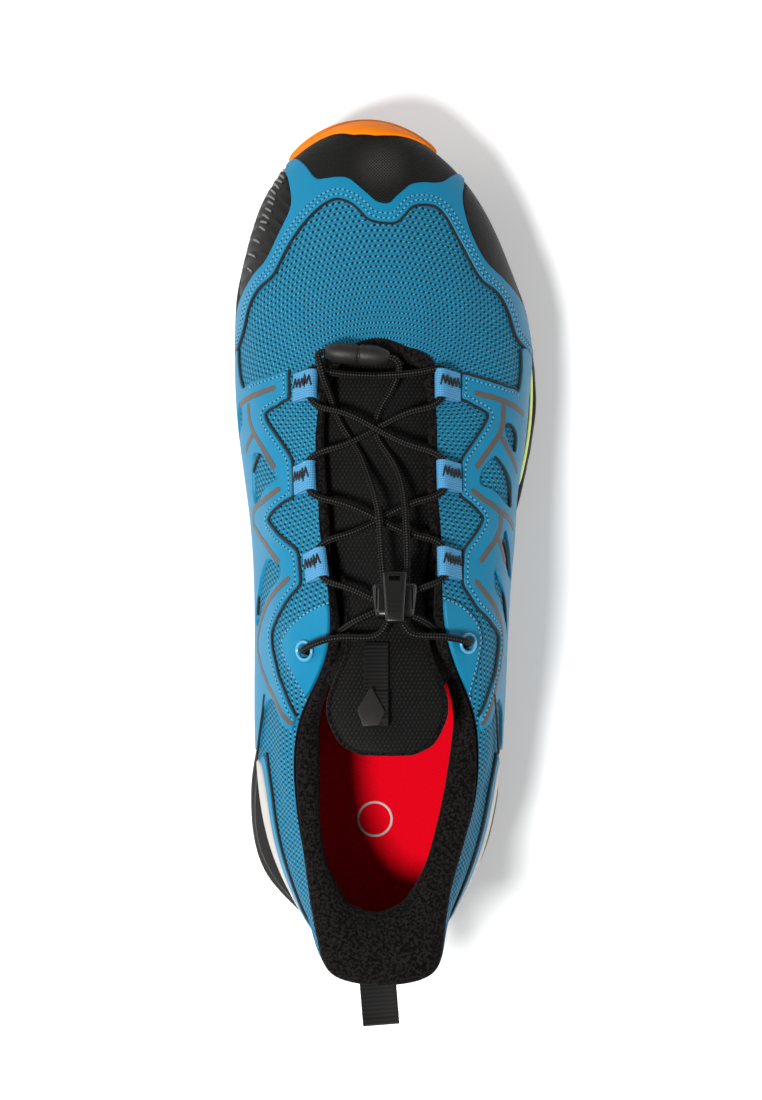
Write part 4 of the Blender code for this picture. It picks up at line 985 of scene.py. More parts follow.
# %% Outlines of the films: turn in degrees and rise
TOE_CAP_EDGE = [
    (201, 0.40), (200, 0.49), (197, 0.51), (193, 0.53), (189, 0.55), (185, 0.59), (181, 0.62),
    (178, 0.64),
    (173, 0.64), (170, 0.61), (167, 0.58), (164, 0.54), (161, 0.51), (156, 0.46), (154, 0.40),
]
FRAME_INNER = [
    (116, 0.06), (117, 0.31), (120, 0.44), (125, 0.45), (129, 0.48), (136, 0.59), (146, 0.58),
    (152, 0.55),
    (155, 0.55), (159, 0.58), (163, 0.61), (166, 0.65), (170, 0.69), (177, 0.70), (183, 0.69),
    (187, 0.65),
    (191, 0.62), (196, 0.59), (208, 0.59), (221, 0.59), (225, 0.56), (229.6, 0.49), (234.8, 0.42),
    (239, 0.39),
    (242.2, 0.31), (243, 0.22), (243.5, 0.06),
]
FRAME_OUTER = {
    "medial": [
        (238, 0.06), (236, 0.24), (232, 0.36), (228, 0.43), (223, 0.51), (213, 0.51), (209, 0.49),
        (207, 0.38),
        (205, 0.22),
    ],
    "lateral": [
        (151, 0.22), (149, 0.42), (145, 0.49), (140, 0.51), (135, 0.49), (129, 0.38), (125, 0.26),
        (123, 0.06),
    ],
}
CAGE_ARM = {
    "medial": [(242, 0.04), (242.2, 0.314), (244.1, 0.317), (245.5, 0.329), (247.3, 0.351), (248.3, 0.38)],
    "lateral": [
        (118, 0.04), (118.2, 0.40), (116.2, 0.401), (114.8, 0.407), (113, 0.421), (111.5, 0.446),
    ],
}
CAGE_TOP = {
    "medial": [
        (246.7, 0.466), (244.4, 0.555), (241.3, 0.636), (237.6, 0.708), (232.2, 0.79),
        (237.7, 0.81), (243.8, 0.715), (249.5, 0.591), (250.1, 0.627), (249.8, 0.72), (249.6, 0.82),
        (256.9, 0.814),
        (262.6, 0.665), (267.1, 0.528), (267.3, 0.646), (266, 0.816), (271.5, 0.82), (278, 0.66),
        (283.5, 0.52),
        (286, 0.53), (289, 0.62), (290.5, 0.84), (291, 0.96),
    ],
    "lateral": [
        (111.9, 0.456), (114.2, 0.553), (117.5, 0.638), (121.3, 0.713), (125.4, 0.777), (130.3, 0.84),
        (125.7, 0.867), (119.7, 0.79), (113.5, 0.689), (113, 0.719), (112.7, 0.79), (112.3, 0.87),
        (105.3, 0.875),
        (100.2, 0.777), (96.4, 0.703), (95.6, 0.753), (95, 0.855), (89.5, 0.87), (84, 0.78), (79.5, 0.66),
        (76.5, 0.56), (75, 0.55), (71.4, 0.62), (69.5, 0.84), (69, 0.96),
    ],
}
CAGE_REST = {
    "medial": [(293.5, 0.96), (294.5, 0.76), (293.5, 0.54), (295, 0.40), (300, 0.32), (300, 0.04)],
    "lateral": [(66.5, 0.96), (65.5, 0.76), (66.5, 0.54), (65, 0.40), (60, 0.32), (60, 0.04)],
}
WINDOWS = {
    "medial": [
        [(257, 0.55), (258, 0.44), (264, 0.38), (266, 0.41), (259, 0.64), (257.5, 0.68)],
        [(273, 0.50), (276, 0.40), (281, 0.30), (282.5, 0.34), (274, 0.64), (272, 0.66)],
        [(250, 0.34), (253, 0.24), (256, 0.24), (253, 0.36)],
    ],
    "lateral": [
        [
            (108.3, 0.565), (107.3, 0.508), (105.6, 0.46), (104.2, 0.445), (102.1, 0.448), (103.5, 0.499),
            (106.2, 0.551),
        ],
        [(105, 0.64), (98, 0.47), (94, 0.44), (95.5, 0.52), (103, 0.74), (105, 0.74)],
        [(91.5, 0.50), (87, 0.40), (84, 0.34), (85, 0.44), (89, 0.54)],
        [(87, 0.62), (80, 0.44), (76.5, 0.38), (78, 0.46), (84, 0.62)],
    ],
}
# Lines of painted shade along one edge of each window: turn in degrees and rise.
WINDOW_SHADES = [
    [(253.5, 0.40), (256.5, 0.37)], [(257.5, 0.50), (260, 0.42), (262.5, 0.37), (265, 0.36)],
    [(273, 0.46), (275, 0.40), (278, 0.35), (280.5, 0.32)],
    [(108.3, 0.558), (107, 0.502), (105.4, 0.458), (103.9, 0.445), (102.2, 0.452)],
    [(105.5, 0.65), (99.5, 0.51), (96.5, 0.46), (94, 0.45)], [(90.5, 0.53), (88.5, 0.47), (85.5, 0.40)],
    [(89, 0.64), (85, 0.55), (81, 0.46), (78, 0.40)],
]
EYESTAY = {
    "medial": [
        (270.4, 1.0), (272.6, 0.928), (275.6, 0.838), (278.8, 0.748), (281.8, 0.668), (284.1, 0.638),
        (285.4, 0.679), (286.3, 0.77), (287.1, 0.887), (287.8, 1.0),
    ],
    "lateral": [
        (90.4, 1.0), (87.1, 0.898), (84.1, 0.828), (81.5, 0.78), (79, 0.765), (77.2, 0.80), (75.1, 0.866),
        (73.7, 0.943), (72.6, 1.0),
    ],
}
HEEL_BAND = [(58, 0.30), (56, 0.35), (50, 0.38), (42, 0.38), (30, 0.36), (0, 0.36)]
HEEL_BAND_BASE = [(59, 0.06), (46, 0.09), (43, 0.20), (30, 0.24), (0, 0.24)]
HEEL_COUNTER = [(58, 0.41), (50, 0.445), (40, 0.46), (20, 0.475), (0, 0.475)]
COUNTER_FRONTS = [
    [(292.9, 0.437), (295.3, 0.402), (297.3, 0.367), (299.1, 0.33), (300.9, 0.297), (301.6, 0.258)],
    [(68.9, 0.683), (65.8, 0.637), (62, 0.518), (59.5, 0.428), (58.1, 0.397)],
]
HEEL_COUNTER_BASE = [(58, 0.32), (56, 0.36), (50, 0.39), (42, 0.39), (30, 0.37), (0, 0.37)]


def raised(points, by):
    return [(turn, rise + by) for turn, rise in points]


def heel_outline(top, base):
    """A closed outline round the heel from the lateral halves of its upper and lower edge."""
    medial_top = [(-turn, rise) for turn, rise in top[-2::-1]]
    return top + medial_top + [(-turn, rise) for turn, rise in base] + base[-2::-1]


print("outlines for the toe, the cages, the stays and the heel")

# %% [markdown]
# The black pieces go on first and run a little way under the blue frame, as in real lay-up, so no cloth
# shows at the joint. The inner rand carries slanting ribs that catch the light.

# %% Black toe cap and rands
RAND_RIB_PITCH, RAND_RIB_HEIGHT = 4.2, 0.45
UNDERLAP = 0.035
BLACK_TOP, RAND_STEP = 0.55, 0.9


def rand_ribs(flat):
    phase = (flat[:, 0] + 0.5 * flat[:, 1]) / RAND_RIB_PITCH
    return RAND_RIB_HEIGHT * np.clip(np.sin(TURN * phase), 0, 1) ** 2


cap_base = [
    (148, 0.14), (158, 0.16), (166, 0.20), (176, 0.30), (186, 0.29), (192, 0.21), (200, 0.16),
    (207, 0.14),
]
cap_top = [(204.0, 0.40), (203.0, 0.50)] + raised(TOE_CAP_EDGE[2:-2], UNDERLAP)
cap_top += [(152.0, 0.48), (151.0, 0.40)]
cap = cut_panel("toe_cap_film", cap_base + cap_top, top=BLACK_TOP)
dress(cap, black_film, "black_film", "toe_cap")
for side in ("medial", "lateral"):
    edge = raised(FRAME_OUTER[side][1:-1], UNDERLAP / 2)
    if side == "medial":
        corners = [(206, 0.04), (237, 0.04)] + edge + [(206, 0.2)]
        ribs = rand_ribs
    else:
        corners = [(124, 0.04), (150, 0.04), (150, 0.24)] + edge
        ribs = None
    film = cut_panel(f"rand_{side}_film", corners, top=BLACK_TOP, step=RAND_STEP, ribs=ribs)
    dress(film, black_rand, "black_film", f"rand_{side}")

# %% [markdown]
# Then the blue films: the frame round the toe, the cages with their windows and the eyelet stays. The
# stays have a round hole for the eyelet. The white band and the blue counter go round the heel.

# %% Blue films
EYELET = {"medial": (281.0, 0.88), "lateral": (80.5, 0.90)}
EYELET_HOLE = 2.1
FRAME_ROUND, CAGE_ROUND, STAY_ROUND = 6.0, 2.2, 4.0
FRAME_HEIGHT, BAND_HEIGHT = 1.15, 0.8


def round_hole(turn, rise, radius):
    scale = metric([(turn, rise)])
    angle = np.linspace(0, TURN, 12, endpoint=False)
    return [(turn + radius * math.cos(a) / scale[0], rise + radius * math.sin(a) / scale[1]) for a in angle]


frame_corners = FRAME_INNER + FRAME_OUTER["medial"] + [(202.5, 0.22)] + TOE_CAP_EDGE + [(152.6, 0.22)]
frame_corners += FRAME_OUTER["lateral"]
toe_frame = cut_panel("toe_frame_film", frame_corners, radius=FRAME_ROUND, top=FRAME_HEIGHT)
dress(toe_frame, blue_film, "blue_film", "toe_frame")
for side in ("medial", "lateral"):
    corners = CAGE_ARM[side] + CAGE_TOP[side] + CAGE_REST[side]
    cage = cut_panel(f"cage_{side}_film", corners, WINDOWS[side], radius=CAGE_ROUND)
    dress(cage, blue_film, "blue_film", f"cage_{side}")
    hole = round_hole(*EYELET[side], EYELET_HOLE)
    stay = cut_panel(f"eyestay_{side}_film", EYESTAY[side], [hole], radius=STAY_ROUND)
    dress(stay, blue_film, "blue_film", f"eyestay_{side}")
band = cut_panel("heel_band_film", heel_outline(HEEL_BAND, HEEL_BAND_BASE), top=BAND_HEIGHT)
dress(band, white_film, "white_film", "heel_band")
counter = cut_panel("heel_counter_film", heel_outline(HEEL_COUNTER, HEEL_COUNTER_BASE))
dress(counter, blue_film, "blue_film", "heel_counter")

# %% [markdown]
# ## Edge beads, stitches and printed lines
# A thin dark bead seals the inner edge of the frame, the edges of the cages and of the heel counter. A
# dark bead along one edge of each window is painted shade. Rows of stitches hold the films. One stitch is
# modelled from a sphere, and joined copies of it follow a line that runs beside the edge. The slanting
# lines on the cages are printed, so they are flat ribbons with round ends.

# %% Lines on the last
RIBBON_STEP = 0.8


def on_skin(line, lift):
    """Table points of a line of places, lifted off the cloth, and the normals there."""
    turn, rise = np.radians(line[:, 0]), line[:, 1]
    point, normal = skin(turn, rise), skin_axes(turn, rise)[2]
    return point + normal * (lift + relief(point))[:, None], normal


def laid_line(corners, radius, shift=0.0, spacing=0.9):
    return shifted(rounded(corners, radius, closed=False, spacing=spacing), shift)


def ribbon_run(line, width, thick, lift):
    """A flat ribbon with round ends along a line of places."""
    route, normal = on_skin(line, lift)
    route = smooth_route(route, RIBBON_STEP)
    share = np.linspace(0, 1, len(route))
    up = spline(np.linspace(0, 1, len(normal)), normal)(share)
    number = np.arange(len(route))
    ends = np.minimum(number, number[::-1]) * RIBBON_STEP / (width / 2)
    taper = np.sqrt(1 - (1 - np.clip(ends + 0.15, 0, 1)) ** 2)
    half, top = width / 2, width / 2 - 0.1
    section = [(-half, -thick), (half, -thick), (top, thick / 2), (-top, thick / 2)]
    return swept_arrays(route, section, up, taper=taper)


def bead_run(line, radius, lift):
    route, normal = on_skin(line, lift)
    return swept_arrays(route, round_section(radius, 8), normal)


def one_stitch():
    """A stitch one millimetre long: a flattened sphere; its points and faces are kept and the object goes."""
    bpy.ops.mesh.primitive_uv_sphere_add(segments=8, ring_count=5, radius=0.5)
    obj = bpy.context.object
    points, faces = coords(obj), [tuple(face.vertices) for face in obj.data.polygons]
    bpy.data.objects.remove(obj)
    return points, faces


stitch_points, stitch_faces = one_stitch()


def stitch_run(line, pitch, size, lift, between=False):
    """Stitches along a line of places, or what lies between them; size is their length, width and height."""
    route, normal = on_skin(line, lift)
    keep = resample(np.concatenate((route, normal), axis=1), pitch)
    if between:
        keep = (keep[1:] + keep[:-1]) / 2
    route, normal = keep[:, :3], unit(keep[:, 3:])
    tangent = unit(np.gradient(route, axis=0))
    side = np.cross(normal, tangent)
    axes = np.stack((tangent * size[0], side * size[1], normal * size[2]), 1)
    points = route[:, None] + np.einsum("pk,nkc->npc", stitch_points, axes)
    start = np.arange(len(route)) * len(stitch_points)
    faces = [[first + i for i in face] for first in start for face in stitch_faces]
    uv = np.broadcast_to(stitch_points[:, :2], (len(route), len(stitch_points), 2))
    return points.reshape(-1, 3), faces, uv.reshape(-1, 2)


# %% Beads, stitches and the needle holes between them
FRAME_BEAD, CAGE_BEAD, COUNTER_BEAD = (0.62, 0.4), (0.5, 0.4), (0.6, 0.3)
SHADE_BEAD, FRONT_BEAD = (0.55, 0.35), (0.45, 1.0)
FRAME_ROWS, CAGE_ROW, STAY_ROW = (-1.7, -3.5), -1.6, 1.0
COUNTER_ROUND, LINE_ROUND = 5.0, 2.5
BARE_FRONT = {"medial": 4, "lateral": 0}
STITCH, NEEDLE_HOLE = (1.05, 0.6, 0.45), (0.7, 0.62, 0.34)
STITCH_PITCH = 1.75

frame_edge = [(turn, max(rise, 0.12)) for turn, rise in FRAME_INNER]
beads = [bead_run(laid_line(frame_edge, FRAME_ROUND, -0.2), *FRAME_BEAD)]
rows = [(laid_line(frame_edge[1:-2], FRAME_ROUND, by), FRAME_HEIGHT) for by in FRAME_ROWS]
for side, edge in CAGE_TOP.items():
    way = 1 if side == "medial" else -1
    for part in (CAGE_ARM[side][1:], edge[BARE_FRONT[side]:]):
        beads.append(bead_run(laid_line(part, CAGE_ROUND, 0.2 * way), *CAGE_BEAD))
    rows.append((laid_line(edge, CAGE_ROUND, CAGE_ROW * way), 1.05))
    rows.append((laid_line(EYESTAY[side], STAY_ROUND, STAY_ROW * way), 1.0))
counter_edge = HEEL_COUNTER + [(-turn, rise) for turn, rise in HEEL_COUNTER[-2::-1]]
beads.append(bead_run(laid_line(counter_edge, COUNTER_ROUND, -0.3), *COUNTER_BEAD))
stitches = [stitch_run(line, STITCH_PITCH, STITCH, lift) for line, lift in rows]
# The dark marks between the stitches are painted shade in the needle holes.
holes = [stitch_run(line, STITCH_PITCH, NEEDLE_HOLE, lift, between=True) for line, lift in rows]
# Painted shade: a dark bead along one edge of each window.
beads += [bead_run(laid_line(line, LINE_ROUND), *SHADE_BEAD) for line in WINDOW_SHADES]
beads += [bead_run(laid_line(line, LINE_ROUND), *FRONT_BEAD) for line in COUNTER_FRONTS]
dress(swept_piece("film_edge_beads", beads), black_thread, "black_film")
dress(swept_piece("film_stitches", stitches), light_thread, "light_webbing")
dress(swept_piece("film_needle_holes", holes), needle_hole_shade, "blue_film")

# %% Printed lines: corners on the cages
PRINTS = [
    [(240.5, 0.709), (244.1, 0.633), (247.1, 0.55), (249.2, 0.459), (250.9, 0.335)],
    [(250.2, 0.437), (253.1, 0.44), (254.6, 0.475), (255.9, 0.574), (256.6, 0.661)],
    [(254.9, 0.461), (256.4, 0.403), (257.7, 0.353)],
    [
        (258.7, 0.704), (262.2, 0.605), (264.8, 0.493), (266.2, 0.368), (268.1, 0.346), (270.2, 0.441),
        (271.3, 0.543), (271.6, 0.647),
    ],
    [
        (271.9, 0.747), (274.6, 0.666), (277.6, 0.566), (280.4, 0.454), (282.2, 0.393), (283.9, 0.345),
        (285.9, 0.349), (289.1, 0.41), (292, 0.50), (292.9, 0.64), (292.8, 0.82), (292.3, 0.95),
    ],
    [(122.3, 0.789), (118.3, 0.719), (114, 0.624), (110.9, 0.536), (109, 0.459), (107.7, 0.382)],
    [(112, 0.584), (108.8, 0.586), (107.7, 0.609), (107.3, 0.688), (107, 0.777)],
    [(107.2, 0.604), (103.8, 0.537), (101, 0.465), (99.2, 0.405)],
    [(104.2, 0.81), (99.6, 0.714), (95, 0.583), (92.7, 0.468), (91.2, 0.37)],
    [(94.2, 0.563), (92, 0.563), (91, 0.616), (90.8, 0.688), (90.3, 0.742)],
    [(91.1, 0.584), (88.5, 0.531), (86.4, 0.487)],
    [
        (88.6, 0.79), (86, 0.739), (83, 0.669), (79.8, 0.593), (77.3, 0.52), (74.5, 0.49), (71.3, 0.53),
        (69, 0.65), (67.8, 0.82), (67.5, 0.95),
    ],
]
PRINT_WIDTH, PRINT_THICK, PRINT_LIFT = 2.1, 0.12, 1.06
prints = [ribbon_run(laid_line(line, 1.5), PRINT_WIDTH, PRINT_THICK, PRINT_LIFT) for line in PRINTS]
dress(swept_piece("printed_lines", prints), grey_print, "black_film")

# %% Painted highlights on the ribs of the inner rand
GLINTS = [
    ((206.0, 0.22), (206.0, 0.32)), ((207.5, 0.22), (207.5, 0.34)), ((209.0, 0.24), (208.5, 0.35)),
    ((210.0, 0.26), (210.0, 0.36)), ((211.5, 0.27), (211.5, 0.36)), ((213.0, 0.28), (212.5, 0.38)),
    ((214.0, 0.32), (213.5, 0.39)), ((215.5, 0.33), (215.0, 0.40)), ((217.0, 0.33), (216.5, 0.41)),
    ((218.5, 0.34), (217.5, 0.41)), ((219.5, 0.35), (219.0, 0.42)), ((222.5, 0.33), (222.0, 0.41)),
    ((225.5, 0.31), (225.0, 0.41)), ((228.0, 0.34), (228.0, 0.41)),
]
GLINT_WIDTH, GLINT_LIFT = 0.75, 0.95
glint_lines = [laid_line(line, 1.0, spacing=0.5) for line in GLINTS]
glints = [ribbon_run(line, GLINT_WIDTH, PRINT_THICK, GLINT_LIFT) for line in glint_lines]
# These light streaks are painted highlights on the ribs.
dress(swept_piece("rand_painted_glints", glints), painted_glint, "black_film")

# %% [markdown]
# ## Collar, throat binding and tongue
# These are soft, padded pieces. Each is a loft: a row of closed sections along the collar or the tongue.
# A grid primitive gives the rows and columns, the first and last row meet and are merged, the ends are
# filled and one step of subdivision rounds the form.

# %% Lofting a padded piece
CUFF = [
    (-2, 15.0, 5.0), (8, 13.5, 5.0), (25, 10.5, 5.0), (58, 10.5, 4.6), (88, 6.0, 3.6), (106, 3.0, 2.4),
    (118, 2.2, 1.6), (134, 1.2, 0.2),
]
CUFF_END = 98.0
CUFF_FOOT, CUFF_FOOT_LIFT = 0.625, 0.25
CUFF_FOOT_PAD, CUFF_LIP = 3.0, 3.0
HEEL_CENTRE = (1.0, 26.0)
HEEL_OPENING = [
    (-75, -20.7, 88), (-60, -20.7, 66.5), (-50, -19.2, 50.2), (-40, -16.4, 36.8), (-30, -12.2, 28.2),
    (-20, -8.4, 22.8),
    (-10, -5.0, 19.9), (0, -1.6, 18.9), (10, 2.0, 19.9), (20, 5.6, 23), (30, 9.2, 28.2), (40, 13.0, 36.6),
    (50, 16.8, 50.2), (60, 20.2, 66.5), (75, 20.2, 88),
]


def loft(name, sections, levels=1):
    """A closed padded form from sections of equal length, in table millimetres."""
    sections = np.asarray(sections, float)
    rows, count = sections.shape[:2]
    obj, across, along = flat_grid(name, rows - 1, count)
    row, spot = np.rint(across * (rows - 1)).astype(int), np.rint(along * count).astype(int) % count
    set_coords(obj, place(sections[row, spot]))
    length = np.linalg.norm(np.diff(sections, axis=0), axis=-1).mean(axis=1).sum()
    girth = np.linalg.norm(np.roll(sections, -1, axis=1) - sections, axis=-1).sum(axis=1).mean()
    scale_uv(obj, length, girth)
    merge(obj)
    edit(obj, (bpy.ops.mesh.fill_holes, {"sides": 0}))
    outward(obj)
    if levels:
        subdivide(obj, levels)
    return obj


def inwards(edge, normal, share):
    """Way in which the collar swells: level, towards one centre at the heel, off the wall in front."""
    level = np.array((HEEL_CENTRE[0] - edge[0], max(0.0, HEEL_CENTRE[1] - edge[1]), 0.0))
    return unit((1 - share**2) * unit(level) - share**2 * normal)


def cuff_section(turn):
    """Section of the collar pad at a turn from -98 to 98 degrees."""
    angle, share = math.radians(turn), abs(turn) / CUFF_END
    edge = topline(angle)
    pad, height = cuff_sizes(edge[1])
    inside = WALL + GAP + 0.2 + 0.7 * share**6
    _, up, normal = skin_axes(angle, 1.0)
    up = unit(up)
    over = edge + up * 0.4
    into = inwards(edge, normal, share)
    at_heel = float(np.clip((70 - abs(turn)) / 20, 0, 1))
    if at_heel:
        reach = np.append(opening(turn) - edge[:2], 0.0)
        into = unit(at_heel * unit(reach) + (1 - at_heel) * into)
        pad += at_heel * (np.linalg.norm(reach) - inside - pad)
    foot = CUFF_FOOT + CUFF_FOOT_LIFT * share**12
    lip = CUFF_LIP * (1 + max(0.0, pad - CUFF_LIP) / 10)
    wall = [skin(angle, rise) - skin_axes(angle, rise)[2] * inside for rise in np.linspace(foot, 1.0, 4)]
    rim = [over - normal * inside, over, over + normal * 0.5 + up * height * 0.45]
    rim.append(over + into * pad * 0.35 + up * height)
    rim.append(over + into * (inside + 0.75 * pad) + up * (0.55 * height - 0.13 * pad))
    rim.append(over + into * (inside + pad) - up * lip)
    rim.append(skin(angle, foot + 0.125) + into * (inside + 0.85 * pad))
    rim.append(skin(angle, foot) + into * (inside + min(pad, CUFF_FOOT_PAD)))
    return wall + rim


cuff_sizes = table_spline(CUFF)
opening = table_spline(HEEL_OPENING)
cuff = loft("collar_cuff_pad", [cuff_section(turn) for turn in np.linspace(-CUFF_END, CUFF_END, 61)])
dress(cuff, black_lining, "black_lining", "collar_cuff", sharp=80)

# %% Padded binding round the throat
BINDING_FROM, BINDING_TO = 98.0, 262.0
THROAT_FRONT, CORNER_PUSH = (-1.0, 195.0, 74.0), {"medial": 2.6, "lateral": 1.6}


def binding_section(turn):
    """A soft roll that sits inside the throat edge, and over it at the front."""
    angle = math.radians(turn)
    _, up, normal = skin_axes(angle, 1.0)
    up = unit(up)
    ends = min(turn - BINDING_FROM, BINDING_TO - turn) / 8
    size = 0.25 + 0.75 * math.sqrt(np.clip(ends, 0, 1))
    corner = math.exp(-(((abs(turn - 180) - 25) / 11) ** 2))
    over = max(corner, math.exp(-(((turn - 180) / 18) ** 2)))
    aside = topline(angle) - THROAT_FRONT
    aside = unit(aside - normal * (aside @ normal))
    push = corner * CORNER_PUSH["medial" if turn > 180 else "lateral"]
    centre = topline(angle) + up * (1.5 - 1.3 * over) - normal * (1.6 - 1.3 * over) + aside * push
    across = unit((1 - corner) * up - corner * aside)
    wide = 2.6 + 0.6 * over
    spin = np.arange(12) * TURN / 12
    return [centre + size * (across * wide * math.cos(a) + normal * 1.7 * math.sin(a)) for a in spin]


binding = loft("throat_binding", [binding_section(t) for t in np.linspace(BINDING_FROM, BINDING_TO, 60)])
dress(binding, black_lining, "black_lining", sharp=80)

# %% Tongue
TONGUE = [
    (216, -1, 15, 66, 1.5, 3), (202, -1, 19, 69.8, 2.6, 3.8), (185, -1, 22.4, 74.4, 3.6, 4.2),
    (160, -0.4, 20.6, 80.8, 3.6, 4.6), (138, 1, 14.6, 86.4, 2.4, 4.6), (120, 2.2, 12.6, 92, 1.8, 4.6),
    (106, 2.4, 13.8, 98.8, 1.8, 4.6), (94, 2.2, 18.4, 104.8, 2.8, 5), (87, 2, 18.9, 107.8, 3.6, 5),
    (81, 2, 16.4, 109.8, 4, 4.8), (77, 2, 12.6, 111, 3.4, 4.3), (75, 2, 8, 111.4, 3, 4),
]
tongue_line = spline([-row[0] for row in TONGUE], [row[1:] for row in TONGUE])


def tongue_point(y, across, depth):
    """A point of the tongue: across runs from -1 to 1 and depth from its top to its back."""
    centre, half, z, drop, thick = np.moveaxis(tongue_line(-np.asarray(y, float)), -1, 0)
    sunk = depth * thick * (1 - 0.55 * across**4)
    return np.stack(np.broadcast_arrays(centre + across * half, y, z - drop * across**2 - sunk), -1)


across = np.linspace(-1, 1, 13)
rim = np.concatenate((across, across[::-1]))
depth = np.concatenate((np.zeros(13), np.ones(13)))
rows = np.concatenate((np.linspace(216, 80, 58), np.array((78.5, 77, 75.8, 75.0))))
tongue = loft("tongue_pad", [tongue_point(np.full(26, y), rim, depth) for y in rows])
corner = loop_corners(tongue.data)
tongue.data.uv_layers.active.data.foreach_set("uv", (coords(tongue)[corner, :2] / MM).ravel())
dress(tongue, tongue_mesh, "black_mesh", "tongue", sharp=80)

# %% [markdown]
# The free end of the tongue is bound with a thin roll. Lower down, a gusset of lining cloth joins each
# edge of the tongue to the inside of the upper and keeps grit out. It is a grid between two lines that
# sags a little.

# %% Bound edge and gussets
RIM_RADIUS = 0.9
GUSSET_FROM, GUSSET_TO, GUSSET_RISE, GUSSET_SAG = 178.0, 94.0, 0.56, 3.0
GUSSET_THICK = 0.7

half_rim = np.concatenate((np.linspace(112, 80, 18), np.linspace(79, 75, 12)))
rim_route = np.concatenate((
    tongue_point(half_rim, np.ones(30), 0.4),
    tongue_point(np.full(7, 75.0), np.linspace(0.75, -0.75, 7), 0.4),
    tongue_point(half_rim[::-1], -np.ones(30), 0.4),
))
rim_run = swept_arrays(resample(rim_route, 1.0), round_section(RIM_RADIUS, 8))
rim_roll = swept_piece("tongue_rim_binding", [rim_run])
dress(rim_roll, black_lining, "black_lining", sharp=80)
for side, way in (("medial", -1), ("lateral", 1)):
    gusset, along, across = flat_grid(f"tongue_gusset_{side}", 60, 10)
    y = GUSSET_FROM + (GUSSET_TO - GUSSET_FROM) * along
    turn = way * turn_on(TOPLINE, y, FORWARD["topline"])
    wall = skin(turn, GUSSET_RISE) - skin_axes(turn, GUSSET_RISE)[2] * (WALL + 0.8)
    held = tongue_point(y, way * 0.86, 0.7)
    narrow = np.sqrt(np.clip((1 - along) / 0.3, 0.02, 1))
    points = held + (wall - held) * (across * narrow)[:, None]
    points[:, 2] -= GUSSET_SAG * 4 * across * (1 - across) * narrow
    set_coords(gusset, place(points))
    cut_width = float(np.linalg.norm(wall - held, axis=1).mean()) * MM
    cut_length = (GUSSET_FROM - GUSSET_TO) * MM
    scale_uv(gusset, cut_length / MM, cut_width / MM)
    shape_with(gusset, "SOLIDIFY", thickness=GUSSET_THICK * MM, offset=0)
    outward(gusset)
    dress(gusset, black_lining, "black_lining", sharp=80)
    cut_area = cut_width * cut_length * float(narrow.mean())
    print("gusset cut to", round(cut_width, 3), "by", round(cut_length, 3), "m")

# %% [markdown]
# ## Sole and insole
# The midsole is moulded foam. Its side is a grid that runs round the shoe and up a stepped profile, with
# slanting flutes in the lower band and long shallow waves above. The caps over and under it are rungs
# across the shoe. The outsole keeps the lugs of its CAD solid: a copy is merged, its flat faces are
# dissolved and its edges bevelled.

# %% Midsole
SIDE_STEPS = [
    (0, -1.6), (0.10, 0.0), (0.34, 0.2), (0.39, -1.2), (0.46, -1.2), (0.51, 0.1), (0.74, -0.5),
    (0.79, -1.8), (1, -2.6),
]
LUG_HEIGHT, RUBBER = 4.0, 2.6
FLUTE_PITCH, FLUTE_DEPTH = 9.0, 0.55
MIDSOLE_COLUMNS, MIDSOLE_ROWS = 480, 40


def midsole_bottom(y):
    return ground(y) + LUG_HEIGHT + RUBBER + GAP + 0.2 + arch(y)


def sole_side(turn, share, extra=0.0):
    """A point on the side of the midsole, share of the way up."""
    outset = np.interp(share, *np.array(SIDE_STEPS, float).T) + extra
    point = inset(outline, turn, -outset)
    low = midsole_bottom(point[..., 1])
    point[..., 2] = low + share * (sole_top(point[..., 1]) - low)
    return point


def flutes(turn, share):
    """Grooves of the lower band and waves of the upper one, as an outset in millimetres."""
    around = np.linspace(0, TURN, 721)
    length = run_length(outline(around))
    run = np.interp(turn, around, length)
    groove = np.clip(np.cos(TURN * (run + 14 * share) / FLUTE_PITCH) - 0.55, 0, 1) / 0.45
    low_band = np.clip((share - 0.04) / 0.06, 0, 1) * np.clip((0.36 - share) / 0.04, 0, 1)
    high_band = np.clip((share - 0.5) / 0.05, 0, 1) * np.clip((0.76 - share) / 0.05, 0, 1)
    return -FLUTE_DEPTH * groove * low_band + 0.35 * high_band * np.sin(TURN * run / 34)


def close_rings(obj, columns, first, last):
    """Faces that close the bottom and top ring of a tube, in rungs from side to side."""
    mesh = bmesh.new()
    mesh.from_mesh(obj.data)
    mesh.verts.ensure_lookup_table()
    for ring_points in (first, last):
        for k in range(columns // 2):
            rung = [ring_points[i % columns] for i in (k, k + 1, columns - k - 1, columns - k)]
            corners = [mesh.verts[i] for i in dict.fromkeys(rung)]
            mesh.faces.new(corners)
    bmesh.ops.recalc_face_normals(mesh, faces=mesh.faces)
    mesh.to_mesh(obj.data)
    mesh.free()


midsole, across, share = flat_grid("midsole_foam", MIDSOLE_COLUMNS, MIDSOLE_ROWS)
turn = across * TURN
set_coords(midsole, place(sole_side(turn, share, flutes(turn, share))))
merge(midsole)
spots = coords(midsole)
around = np.arange(MIDSOLE_COLUMNS) * TURN / MIDSOLE_COLUMNS
rings = []
for at_share in (0.0, 1.0):
    ring_spots = place(sole_side(around, np.full(MIDSOLE_COLUMNS, at_share)))
    rings.append([int(np.argmin(((spots - spot) ** 2).sum(1))) for spot in ring_spots])
close_rings(midsole, MIDSOLE_COLUMNS, *rings)
dress(midsole, black_foam, "black_foam", "midsole", sharp=50)

# %% Patches of lime foam set in the sides of the midsole
PATCHES = {"lateral": (98, 117), "medial": (246, 253)}
PATCH_SWELL = {"lateral": 0.5, "medial": 0.7}
LIME_FROM, LIME_HEIGHT, LIME_THICK = 0.82, 0.17, 0.6

